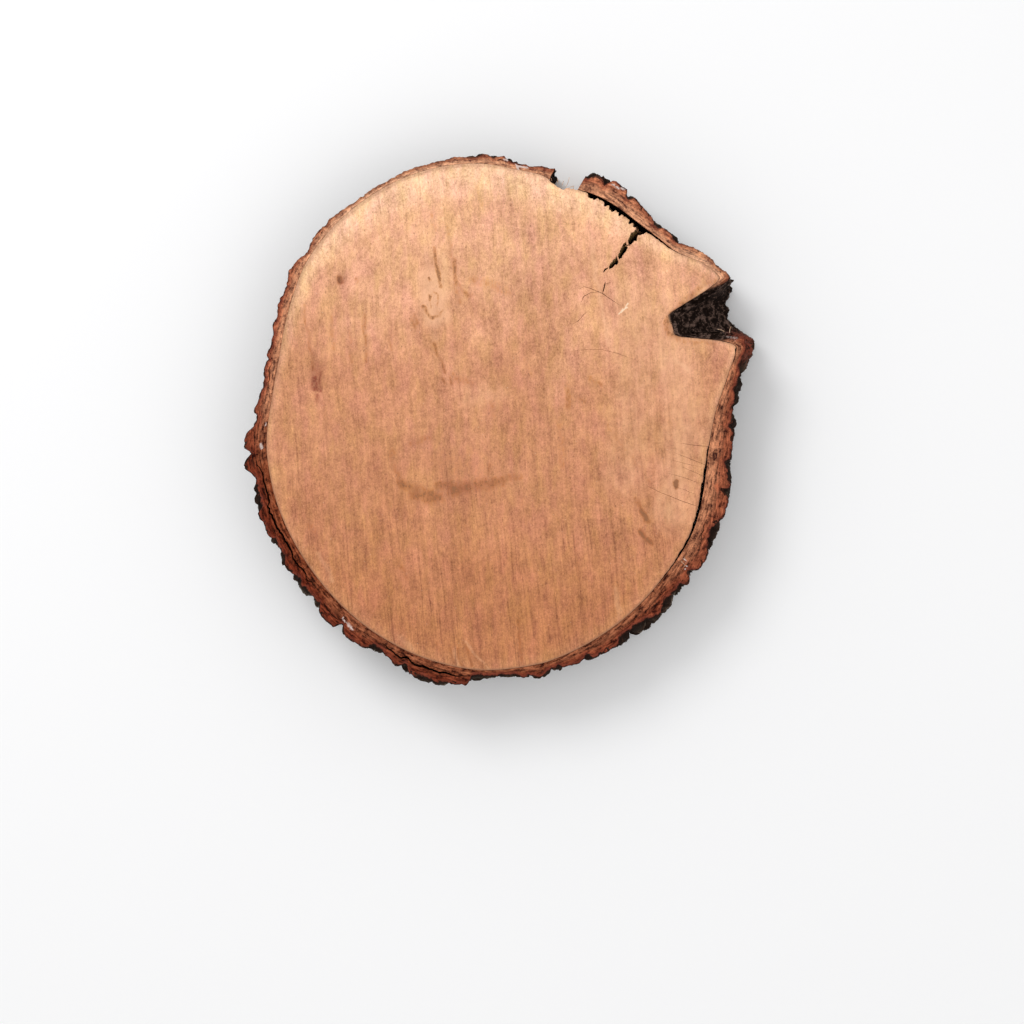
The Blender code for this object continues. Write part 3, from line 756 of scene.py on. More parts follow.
def woodMaterial():
    material, tree, surface = newMaterial("sawnWood")
    place, (x, y, z) = objectPlace(tree)
    look = woodFinish
    side = z * 0.9  # keeps the two faces from sharing one pattern
    wander = noiseAt(tree, vector(tree, x * 0.012, y * 0.012, side), 1.0, 2.0)
    across = x + y * wood["sawLean"] + wander * 5.0
    along = y - x * wood["sawLean"]

    band = noiseAt(tree, vector(tree, across * 0.055, along * 0.006, side), 1.0, 2.0)
    streak = noiseAt(tree, vector(tree, across * 0.34, along * 0.012, side), 1.0, 3.0, 0.6)
    fine = noiseAt(tree, vector(tree, across * 1.05, along * 0.045, side), 1.0, 2.0, 0.6)
    scratch = noiseAt(tree, vector(tree, across * 0.62, along * 0.024, side + 31.0), 1.0, 1.0)
    cloud = noiseAt(tree, vector(tree, x * 0.022, y * 0.016, side + 4.0), 1.0, 3.0, 0.55)
    patch = noiseAt(tree, vector(tree, x * 0.075, y * 0.055, side + 7.0), 1.0, 3.0, 0.6)
    mottle = noiseAt(tree, vector(tree, x * 0.24, y * 0.15, side + 2.0), 1.0, 3.0, 0.6)
    blotch = noiseAt(tree, vector(tree, x * 0.62, y * 0.40, side + 17.0), 1.0, 2.0, 0.6)
    grain = noiseAt(tree, vector(tree, x * 1.35, y * 1.0, side), 1.0, 3.0, 0.75)
    hue = noiseAt(tree, vector(tree, x * 0.13, y * 0.045, side + 21.0), 1.0, 3.0, 0.65)
    pore = noiseAt(tree, vector(tree, x * 0.95, y * 0.55, side + 12.0), 1.0, 1.0)
    speck = noiseAt(tree, vector(tree, x * 1.25, y * 1.1, side + 41.0), 1.0, 1.0)

    sap = attribute(tree, "sapwood")
    rim = attribute(tree, "rimGap")
    ring = attribute(tree, "ringShare")
    stain = attribute(tree, "stain")
    red = attribute(tree, "redMark")
    pale = attribute(tree, "paleMark")

    # Growth rings, each of its own strength, clearest near the bark
    ringPlace = ring * 64.0 + (mottle - 0.5) * 0.7 + (cloud - 0.5) * 1.2
    rings = noiseAt(tree, vector(tree, ringPlace, 0.0, side), 1.0, 2.0, 0.7)
    ringLine = rings.rising(0.54, 0.68) * (0.15 + 0.85 * ring.rising(0.60, 0.95) * y.rising(-60.0, 90.0))

    # Broad colour: paler at the top and the right, deeper and browner towards the bottom, partly the wood's own colour
    # and partly painted light and shade
    height = y + x * 0.06 + (cloud - 0.5) * 80.0 + (patch - 0.5) * 50.0
    colour = mixColour(tree, height.rising(-125.0, 35.0), look["low"], look["middle"])
    colour = mixColour(tree, height.rising(5.0, 118.0), colour, look["high"])
    outer = (sap + (mottle - 0.5) * 0.5 * sap + (streak - 0.5) * 0.7 * sap).clipped()
    sapTint = mixColour(tree, height.rising(-60.0, 75.0), look["sapLow"], look["sap"])
    colour = mixColour(tree, outer * (0.45 + 0.5 * y.rising(-90.0, 90.0)), colour, sapTint)
    colour = mixColour(tree, 1.0, colour, mixColour(
        tree, (0.5 + (hue - 0.5) * 3.0).clipped(), look["pink"], look["ochre"]), "MULTIPLY")

    # Saw marks, grain and mottling
    lowness = 0.8 + y.rising(10.0, -95.0) * 0.8
    shade = ((streak - 0.5) * 0.46 + (fine - 0.5) * 0.40) * lowness + (band - 0.5) * 0.30 + (patch - 0.5) * 0.56
    shade = shade + (mottle - 0.5) * 0.62 + (blotch - 0.5) * 0.66 + (grain - 0.5) * 1.15
    shade = shade - scratch.rising(0.62, 0.68) * lowness * 0.12 - ringLine * 0.11
    colour = mixColour(tree, 1.0, colour, mixColour(
        tree, (0.5 + shade).clipped(), look["shadeDark"], look["shadeLight"]), "MULTIPLY")
    fleck = pore.rising(0.69, 0.82) * (0.25 + 0.75 * patch)
    colour = mixColour(tree, fleck, colour, look["fleck"])
    colour = mixColour(tree, speck.rising(0.74, 0.84) * 0.40, colour, look["speck"])

    # Stains break up along the grain
    paleShare = (pale + (mottle - 0.5) * 0.5 + (streak - 0.5) * 0.35).rising(0.05, 0.95) * pale.rising(0.0, 0.3)
    colour = mixColour(tree, paleShare * 0.62, colour, look["pale"])
    colour = mixColour(tree, (pale + (grain - 0.5) * 0.5).rising(1.05, 1.35) * 0.85, colour, look["bright"])
    torn = stain * 1.1 + (mottle - 0.5) * 1.6 + (blotch - 0.5) * 1.8 + (grain - 0.5) * 1.2 + (fine - 0.5) * 0.9
    stained = torn.rising(0.05, 1.05) * stain.rising(0.0, 0.45)
    colour = mixColour(tree, stained * 0.95, colour, look["smudge"], "MULTIPLY")
    core = (torn + (grain - 0.5) * 1.0).rising(0.78, 1.10) * stain.rising(0.15, 0.60)
    colour = mixColour(tree, core * 0.72, colour, look["stain"])
    redShare = red * (0.80 + (mottle - 0.5) * 1.6 + (blotch - 0.5) * 1.6 + (fine - 0.5) * 0.8)
    colour = mixColour(tree, redShare.clipped() * 0.95, colour, look["red"], "MULTIPLY")
    reach = 1.5 + y.rising(30.0, 90.0) * x.rising(20.0, -20.0) * 1.7
    edgeLine = rim.rising(reach, 0.1) * (0.35 + 0.9 * mottle) * (0.7 + y.rising(0.0, -70.0) * 0.6)
    colour = mixColour(tree, edgeLine.clipped() * 0.75, colour, look["underBark"])

    # Crack walls and the side that the bark covers; the crack walls get darker with depth as painted shade
    faceGap = z.least((thickness * 1000) - z)
    below = faceGap.rising(0.28, 0.75)
    fibres = noiseAt(tree, vector(tree, x * 1.6, y * 1.6, z * 0.16), 1.0, 3.0, 0.65)
    wall = mixColour(tree, fibres.rising(0.35, 0.7), look["wallDarkAndShade"], look["wall"])
    sideTint = mixColour(tree, fibres.rising(0.3, 0.66), look["underBark"], look["fibre"])
    atSide = rim.rising(2.6, 1.9)
    wall = mixColour(tree, atSide, wall, sideTint)
    # Painted shade: the crack walls darken towards the bottom of each crack
    wall = mixColour(tree, z.rising(37.0, 24.0) * (1.0 - atSide) * 0.95, wall, look["wallDarkAndShade"])
    colour = mixColour(tree, below, colour, wall)
    tree.links.new(colour.socket, surface.inputs["Base Color"])

    low, high = look["roughness"]
    rough = low + (high - low) * (0.35 + 0.5 * mottle + 0.4 * below)
    tree.links.new(rough.clipped().socket, surface.inputs["Roughness"])
    surface.inputs["Specular IOR Level"].default_value = 0.35
    lift = streak * 0.9 + fine * 0.75 + grain * 0.9 + blotch * 0.6 - pore.rising(0.6, 0.75) * 0.8 + fibres * below * 2.2
    bump = add(tree, "ShaderNodeBump", {}, {
        "Height": lift, "Distance": look["bumpDepth"], "Strength": 0.8})
    tree.links.new(bump.socket, surface.inputs["Normal"])
    return material


def makeWood():
    mesh = woodMesh()
    piece = newObject("woodFine", mesh)
    setAttribute(mesh, "rimGap", rimGaps(pointsOf(mesh)))
    finish = woodMaterial()
    tree, inputs, finishId = sawnFaceTree()
    modifier = piece.modifiers.new("sawnFace", "NODES")
    modifier.node_group = tree
    for identifier, value in inputs.values():
        modifier[identifier] = value
    modifier[finishId] = finish
    cutter = crackCutter()
    split = piece.modifiers.new("cracks", "BOOLEAN")
    split.operation = "DIFFERENCE"
    split.solver = "MANIFOLD"
    split.object = cutter
    mesh = baked(piece)
    bpy.data.objects.remove(cutter)
    mesh.materials.clear()
    mesh.materials.append(finish)
    paintWood(mesh)
    mesh.shade_smooth()
    mesh.set_sharp_from_angle(angle=math.radians(50))
    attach(piece, "root")
    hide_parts("wood")
    print("wood:", len(mesh.polygons), "faces")
    return piece


makeWood()

# Bark: one run round the wood, with plates and furrows on its outside
bark = {
    "columnStep": 0.00088,
    "clearance": 0.0003,
    "insideLevels": [0.0, 0.0006, 0.003, 0.008, 0.014, 0.020, 0.026, 0.032, 0.036, 0.0385, 0.0397],
    "outsideRows": 38,
    "rimShares": [0.0, 0.12, 0.25, None, None, None, 0.64, 0.77, 0.88, 0.96, 1.0],
    "rimTop": 0.0397,
    "rimDrop": 0.0006,
    "rimRoughness": 0.00045,
    "plateSize": 0.019,
    "plateStretch": 0.62,
    "plateWarp": 0.22,
    "warpRate": 1.7,
    "plateRise": 0.45,
    "furrowWidth": 0.0058,
    "furrowDepth": 0.0046,
    "furrowShare": 0.50,
    "lumpSize": 0.055,
    "lumpHeight": 0.0055,
    "rimWear": 0.0005,
    "rimBevel": 0.0022,
    "leastBark": 0.0013,
    "raggedReach": 3.0,
    "raggedAngle": 0.9,
    "raggedSize": 0.006,
    "flake": (246.0, 264.0, 0.0050, 1.2, 0.14, 0.86),
    "reliefRise": 0.0008,
    "calmInset": 0.0009,
    "edgeJitter": [(0.00062, 430.0), (0.00040, 1150.0)],
    "calm": [(100.0, 192.0, 0.62), (330.0, 362.0, 0.35)],  # bearings where the outside is smoother, share taken off
    "notchDrop": 0.0034,
    "notchBulge": 0.0014,
    "notchLumps": [(0.0024, 230.0), (0.0016, 560.0), (0.0008, 1300.0)],
    "splits": [  # bearings, share of the bark's thickness, half width and depth in mm
        (199.0, 230.0, 0.42, 0.60, 9.0), (246.5, 264.2, 0.44, 0.62, 9.0), (233.0, 239.0, 0.56, 0.25, 4.0),
        (177.0, 184.0, 0.54, 0.28, 4.0), (318.0, 325.0, 0.52, 0.25, 4.0)],
    "splitWander": [(0.09, 0.35), (0.06, 1.4)],
    "tones": [  # bearing, how pale the sawn rim is
        (0, 0.26), (8, 0.34), (14, 0.12), (20, 0.20), (24, 0.86), (31, 0.95), (36, 0.58), (50, 0.58), (63, 0.50), (85, 0.62),
        (97, 0.68), (112, 0.90), (130, 1.0), (148, 0.64), (158, 0.48), (176, 0.44), (187, 0.34), (193, 0.12),
        (202, 0.02), (225, 0.0), (240, 0.08), (256, 0.06), (280, 0.08), (296, 0.12), (308, 0.11), (320, 0.28),
        (335, 0.33), (350, 0.28)],
    "fineSize": 0.0078,
    "fineDepth": 0.0017,
    "scaleSize": 0.0026,
    "scaleDepth": 0.00055,
}


# Pale flecks on the sawn rim, in mm like the marks on the wood
whiteMarks = [
    ([(8.2, 133.9), (10.1, 129.6)], 1.0, 1.0),
    ([(8.5, 133.3), (14.4, 132.3)], 0.9, 0.9),
    ([(1.6, 137.0), (3.7, 136.3)], 1.0, 0.9),
    ([(60.4, 121.4), (65.0, 120.8)], 1.3, 0.9),
    ([(58.0, 123.2), (61.0, 122.3)], 0.8, 0.8),
    ([(-82.8, -104.0), (-77.4, -110.0)], 1.0, 0.8),
    ([(-126.8, -12.2), (-125.5, -14.6)], 1.0, 0.9),
    ([(-123.8, -1.2), (-123.9, -2.6)], 1.1, 0.7),
    ([(95.3, -72.7), (97.4, -75.5), (96.0, -78.5)], 0.9, 0.8),
    ([(117.5, 44.0), (123.0, 42.0)], 3.0, 0.5),
]


def furrowShare(points):
    size, width = bark["plateSize"], bark["furrowWidth"]

    def apart(p):
        spot = Vector((p.x, p.y, p.z * bark["plateStretch"])) / size
        spot += bark["plateWarp"] * noise.noise_vector(spot * bark["warpRate"])
        nearest, second = noise.voronoi(spot)[0][:2]
        return second - nearest

    return 1.0 - ease(sampled(apart, points) * size / width)


def barkOutside(bearing, z):
    inside, steep = barkInside(bearing, z)
    groove = notchShare(bearing, 0.0)
    radius = outlineRadius(bearing, 2)
    radius = radius + (np.minimum(notchRadius(z), radius) - radius) * groove
    depth = np.minimum(bark["furrowDepth"], bark["furrowShare"] * np.maximum(radius - inside, bark["leastBark"]))
    points = placed(bearing, radius, z)
    lumps = sampled(lambda p: noise.noise(p / bark["lumpSize"]), points)
    calm = np.zeros(np.broadcast(bearing, z).shape)
    for start, end, share in bark["calm"]:
        turn = np.mod(bearing - start, 360.0)
        calm = np.maximum(calm, share * ease(turn / 8.0) * ease((end - start - turn) / 8.0))
    lumps = bark["lumpHeight"] * lumps * (1.0 - z / thickness) * (1.0 - groove) * (1.0 - 1.2 * calm)
    depth = depth * (1.0 - calm)
    wear = bark["rimWear"] * (1.0 - ease(np.minimum(z, thickness - z) / bark["rimBevel"])) * (1.0 - groove)
    start, end, out, edge, low, high = bark["flake"]
    turn = np.mod(bearing, 360.0)
    lean = ease((turn - start) / (end - start)) * ease((end + edge - turn) / edge) * (turn > start)
    furrow = furrowShare(points)
    radius = radius + lumps - wear + out * lean * ease((z / thickness - low) / (high - low))
    radius = radius + depth * (bark["plateRise"] - furrow) + bark["reliefRise"] + bark["notchBulge"] * groove
    radius = radius - bark["calmInset"] * calm
    for height, rate in bark["notchLumps"]:
        radius = radius + groove * height * sampled(lambda p: noise.noise(p * rate), points)
    for height, rate in bark["edgeJitter"]:
        radius = radius + height * sampled(lambda p: noise.noise(p * rate), points)
    least = inside + bark["leastBark"] * steep
    return np.maximum(radius, least), furrow, least


def raggedShift(bearing, z, side):
    start, end = trunk["bare"][1], trunk["bare"][0] + 360.0
    fromEnd = np.minimum(bearing - start, end - bearing)
    ragged = 1.0 - ease(fromEnd / bark["raggedReach"])
    half = np.floor(bearing / 180.0)
    spots = np.stack(np.broadcast_arrays(side + 0.3, z / bark["raggedSize"] + 0.3, half + 0.3), axis=-1)
    fine = spots * (1.0, 3.7, 1.0) + (0.0, 4.0, 2.0)
    rough = sampled(noise.noise, spots) + 0.55 * sampled(noise.noise, fine)
    return bearing + ragged * bark["raggedAngle"] * rough


def splitAt(bearing):
    # Where the layers have come apart: share across the bark, half width and depth
    share = np.full(bearing.shape, 0.46)
    half = np.zeros(bearing.shape)
    depth = np.zeros(bearing.shape)
    turn = np.mod(bearing, 360.0)
    for start, end, at, halfWidth, deep in bark["splits"]:
        t = (turn - start) / (end - start)
        near = ease(1.0 - abs(t - 0.5) * 2.0 + 0.35) * ((t > -0.2) & (t < 1.2))
        share = share + (at - share) * near
        opening = np.sqrt(np.clip(4.0 * t * (1.0 - t), 0.0, 1.0)) * ((t > 0) & (t < 1))
        half = np.maximum(half, halfWidth / 1000 * opening)
        depth = np.maximum(depth, deep / 1000 * opening)
    for height, rate in bark["splitWander"]:
        share = share + height * np.array([noise.noise(Vector((b * rate, 3.1, 0.0))) for b in bearing])
    return share, half, depth


def barkMesh():
    start, end = trunk["bare"][1], trunk["bare"][0] + 360.0
    bearings = evenBearings(start, end, bark["columnStep"])
    top = bark["rimTop"]
    columns = bearings[:, None]
    notch = notchShare(bearings, trunk["liningAngle"])

    innerZ = np.clip(np.array(bark["insideLevels"]), bark["clearance"], top)[None, :]
    b = raggedShift(columns, innerZ, 0.0)
    innerRadius, _ = barkInside(b, innerZ)
    inner = placed(b, innerRadius, innerZ)

    highest = thickness - bark["rimDrop"] - bark["notchDrop"] * notch
    outerZ = np.linspace(highest, np.full(len(bearings), bark["rimDrop"]), bark["outsideRows"] + 1, axis=1)
    b = raggedShift(columns, outerZ, 1.0)
    outerRadius, furrow, least = barkOutside(b, outerZ)
    outer = placed(b, outerRadius, outerZ)
    out = np.stack([np.cos(np.radians(b)), np.sin(np.radians(b)), np.zeros(b.shape)], axis=-1)

    # The sawn rim, with a V groove where the layers part
    insideTop, outsideTop = inner[:, -1], outer[:, 0]
    across = np.linalg.norm((outsideTop - insideTop)[:, :2], axis=1)
    share, half, depth = splitAt(bearings)
    half = np.minimum(np.maximum(half / across, 0.012), 0.11)
    low, high = trunk["notchRadius"]
    notchSlope = (low - high) / (thickness - trunk["notchRunOut"])
    rimRows, rimShares = [], []
    for k, fixed in enumerate(bark["rimShares"][1:-1], 1):
        if fixed is None:
            s = share + half * (k - 4)
        else:
            s = np.full(len(bearings), fixed)
        spot = insideTop + (outsideTop - insideTop) * s[:, None]
        spot[:, 2] = top
        rough = sampled(lambda p: noise.noise(p * 420) + 0.6 * noise.noise(p * 1300), spot)
        worn = 0.0006 * ease((s - 0.8) / 0.2) + 0.00010 * ease((0.1 - s) / 0.1) + bark["notchDrop"] * notch * s
        spot[:, 2] = top - worn - bark["rimRoughness"] * np.clip(0.45 + 0.8 * rough, 0.0, 1.2)
        for height, rate in bark["notchLumps"]:
            spot[:, 2] -= notch * height * np.clip(sampled(lambda p: noise.noise(p * rate) + 0.2, spot), 0.0, 1.0)
        # The notch's rim stays above the sloping wall behind it
        spot[:, 2] = np.maximum(spot[:, 2], top - 0.8 * s * across / np.maximum(notchSlope * notch, 0.01))
        if k == 4:
            spot[:, 2] -= depth
        rimRows.append(spot)
        rimShares.append(s)
    rim = np.stack(rimRows, axis=1)

    under = []
    for s in (0.85, 0.5, 0.15):
        spot = outer[:, -1] * s + inner[:, 0] * (1.0 - s)
        spot[:, 2] = bark["clearance"] + 0.0002 * (1.0 + sampled(lambda p: noise.noise(p * 500), spot))
        under.append(spot)
    under = np.stack(under, axis=1)

    loops = np.concatenate([inner, rim, outer, under], axis=1)
    count, size = loops.shape[:2]
    run = np.concatenate([[0.0], np.cumsum(np.linalg.norm(np.diff(insideTop, axis=0), axis=1))])
    tone = np.interp(bearings % 360, *np.array(bark["tones"]).T, period=360)

    def perPart(*parts):
        sizes = (inner.shape[1], rim.shape[1], outer.shape[1], under.shape[1])
        full = [np.broadcast_to(np.asarray(v, float), (count, n)) for v, n in zip(parts, sizes)]
        return list(np.concatenate(full, axis=1).ravel())

    values = {
        "across": perPart(0.0, np.stack(rimShares, axis=1), 1.0, 0.5),
        "crust": perPart(0.0, 0.0, 1.0, 0.0),
        "hollow": perPart(0.0, 0.0, furrow, 0.0),
        "room": perPart(0.0, 0.0, np.clip(outerRadius - least, 0.0, 1.0), 0.0),
        "wide": list(np.repeat(across * 1000, size)),
        "along": list(np.repeat(run * 1000, size)),
        "notch": list(np.repeat(notch, size)),
        "tone": list(np.repeat(tone, size)),
    }
    outward = np.zeros(loops.shape)
    first = inner.shape[1] + rim.shape[1]
    outward[:, first:first + outer.shape[1]] = out
    points = list(loops.reshape(-1, 3))
    faces = []
    for i in range(count - 1):
        for k in range(size):
            j = (k + 1) % size
            faces.append((i * size + k, (i + 1) * size + k, (i + 1) * size + j, i * size + j))
    # Broken ends: smaller loops inside the last section, pushed in and out
    for last, direction in ((0, -1.0), (count - 1, 1.0)):
        loop = loops[last]
        middle = loop.mean(axis=0)
        ring = [last * size + k for k in range(size)]
        angle = math.radians(bearings[last])
        sideways = np.array([-math.sin(angle), math.cos(angle), 0.0]) * direction
        for shrink in (0.7, 0.4, 0.15):
            spots = middle + (loop - middle) * shrink
            rough = sampled(lambda p: noise.noise(p * 260) + 0.5 * noise.noise(p * 900), spots)
            spots = spots + sideways * (0.0011 * rough)[:, None]
            fresh = list(range(len(points), len(points) + size))
            points += list(spots)
            for name, data in values.items():
                data += data[last * size:last * size + size]
            for name, value in (("across", 0.5), ("crust", 0.0), ("hollow", 0.6), ("room", 0.0)):
                values[name][-size:] = [value] * size
            for k in range(size):
                j = (k + 1) % size
                faces.append((ring[k], fresh[k], fresh[j], ring[j]))
            ring = fresh
        faces.append(tuple(ring))
    mesh = meshFrom("barkFine", points, faces)
    for name, data in values.items():
        setAttribute(mesh, name, data)
    spots = np.array(points)[:, :2] * 1000 - wood["markShift"]
    white = np.zeros(len(points))
    for route, reach, strength in whiteMarks:
        white = np.maximum(white, strength * nearness(spots, route, reach))
    setAttribute(mesh, "white", white * (np.array(points)[:, 2] > 0.038))
    layer = mesh.attributes.new("outward", "FLOAT_VECTOR", "POINT")
    padded = np.zeros((len(points), 3), np.float32)
    padded[:count * size] = outward.reshape(-1, 3)
    layer.data.foreach_set("vector", padded.ravel())
    return cleaned(mesh, 1e-7)


def barkReliefTree():
    # Presses small plates, cracks and scales into the bark's outside, never past its room
    tree = bpy.data.node_groups.new("barkRelief", "GeometryNodeTree")
    tree.interface.new_socket("Geometry", in_out="INPUT", socket_type="NodeSocketGeometry")
    inputs = {}
    for name, value in (("Plate size", bark["fineSize"]), ("Plate depth", bark["fineDepth"]),
                        ("Scale size", bark["scaleSize"]), ("Scale depth", bark["scaleDepth"])):
        socket = tree.interface.new_socket(name, in_out="INPUT", socket_type="NodeSocketFloat")
        socket.default_value = value
        inputs[name] = (socket.identifier, value)
    finish = tree.interface.new_socket("Finish", in_out="INPUT", socket_type="NodeSocketMaterial")
    tree.interface.new_socket("Geometry", in_out="OUTPUT", socket_type="NodeSocketGeometry")
    start = tree.nodes.new("NodeGroupInput")
    end = tree.nodes.new("NodeGroupOutput")

    def given(name):
        return Wire(tree, start.outputs[name])

    def named(name, kind="FLOAT"):
        return add(tree, "GeometryNodeInputNamedAttribute", {"data_type": kind}, {"Name": name})

    place = add(tree, "GeometryNodeInputPosition", {}, {})
    split = tree.nodes.new("ShaderNodeSeparateXYZ")
    tree.links.new(place.socket, split.inputs[0])
    x, y, z = (Wire(tree, split.outputs[i]) for i in range(3))
    bendX = (noiseAt(tree, place, 170.0, 2.0) - 0.5) * 0.55
    bendY = (noiseAt(tree, vector(tree, x + 3.0, y, z), 170.0, 2.0) - 0.5) * 0.55
    size = given("Plate size")
    spot = vector(tree, x / size + bendX, y / size + bendY, z * 0.72 / size + bendX)
    crack = add(tree, "ShaderNodeTexVoronoi", {"feature": "DISTANCE_TO_EDGE"}, {"Vector": spot, "Scale": 1.0})
    tilt = add(tree, "ShaderNodeTexVoronoi", {"feature": "F1"}, {"Vector": spot, "Scale": 1.0}, out="Color")
    tone = add(tree, "ShaderNodeSeparateXYZ", {}, {0: tilt})
    size = given("Scale size")
    scalePlace = vector(tree, x / size, y / size, z * 0.8 / size)
    scales = add(tree, "ShaderNodeTexVoronoi", {"feature": "F1"}, {"Vector": scalePlace, "Scale": 1.0}, out="Distance")
    rough = noiseAt(tree, place, 900.0, 3.0, 0.65)
    crackShare = crack.rising(0.16, 0.02)
    depth = given("Plate depth") * (crackShare * 0.75 + tone * 0.45)
    depth = depth + given("Scale depth") * (scales * 1.1 + rough * 0.9)
    crust = named("crust")
    depth = (depth * crust).least(named("room"))
    shift = add(tree, "ShaderNodeVectorMath", {"operation": "SCALE"}, {
        "Vector": named("outward", "FLOAT_VECTOR"), "Scale": -depth})
    stored = add(tree, "GeometryNodeStoreNamedAttribute", {"data_type": "FLOAT", "domain": "POINT"}, {
        "Geometry": given("Geometry"), "Name": "fineCrack", "Value": crackShare * crust})
    stored = add(tree, "GeometryNodeStoreNamedAttribute", {"data_type": "FLOAT", "domain": "POINT"}, {
        "Geometry": stored, "Name": "plateTone", "Value": tone})
    moved = add(tree, "GeometryNodeSetPosition", {}, {"Geometry": stored, "Offset": shift})
    real = add(tree, "GeometryNodeRealizeInstances", {}, {0: moved})
    finished = add(tree, "GeometryNodeSetMaterial", {}, {"Geometry": real, "Material": given("Finish")})
    tree.links.new(finished.socket, end.inputs[0])
    return tree, inputs, finish.identifier


barkFinish = {
    "innerPale": (0.72, 0.390, 0.240),
    "innerMiddle": (0.56, 0.240, 0.130),
    "innerDeep": (0.185, 0.042, 0.016),
    "outerPale": (0.64, 0.290, 0.155),
    "outerMiddle": (0.39, 0.116, 0.058),
    "outerDeep": (0.135, 0.020, 0.008),
    "orange": (0.46, 0.150, 0.058),
    "redEdge": (0.25, 0.057, 0.034),
    "crustEdge": (0.014, 0.008, 0.006),
    "glint": (0.66, 0.42, 0.34),
    "shadeDark": (0.16, 0.11, 0.15),
    "shadeLight": (1.95, 1.98, 1.90),
    "plate": (0.040, 0.023, 0.015),
    "plateGrey": (0.105, 0.078, 0.052),
    "plateRed": (0.115, 0.034, 0.016),
    "notchPlate": (0.200, 0.125, 0.098),
    "notchFleck": (0.50, 0.270, 0.190),
    "ledgeShade": (0.020, 0.010, 0.007),
    # Near black: dark seams, and painted shade in the furrows, cracks, low rim and notch
    "furrow": (0.012, 0.006, 0.004),
    "lichen": (0.40, 0.375, 0.285),
    "lichenWhite": (0.66, 0.65, 0.56),
    "whiteMark": (0.88, 0.72, 0.66),
    "roughness": 0.85,
    "bumpDepth": 0.0007,
}


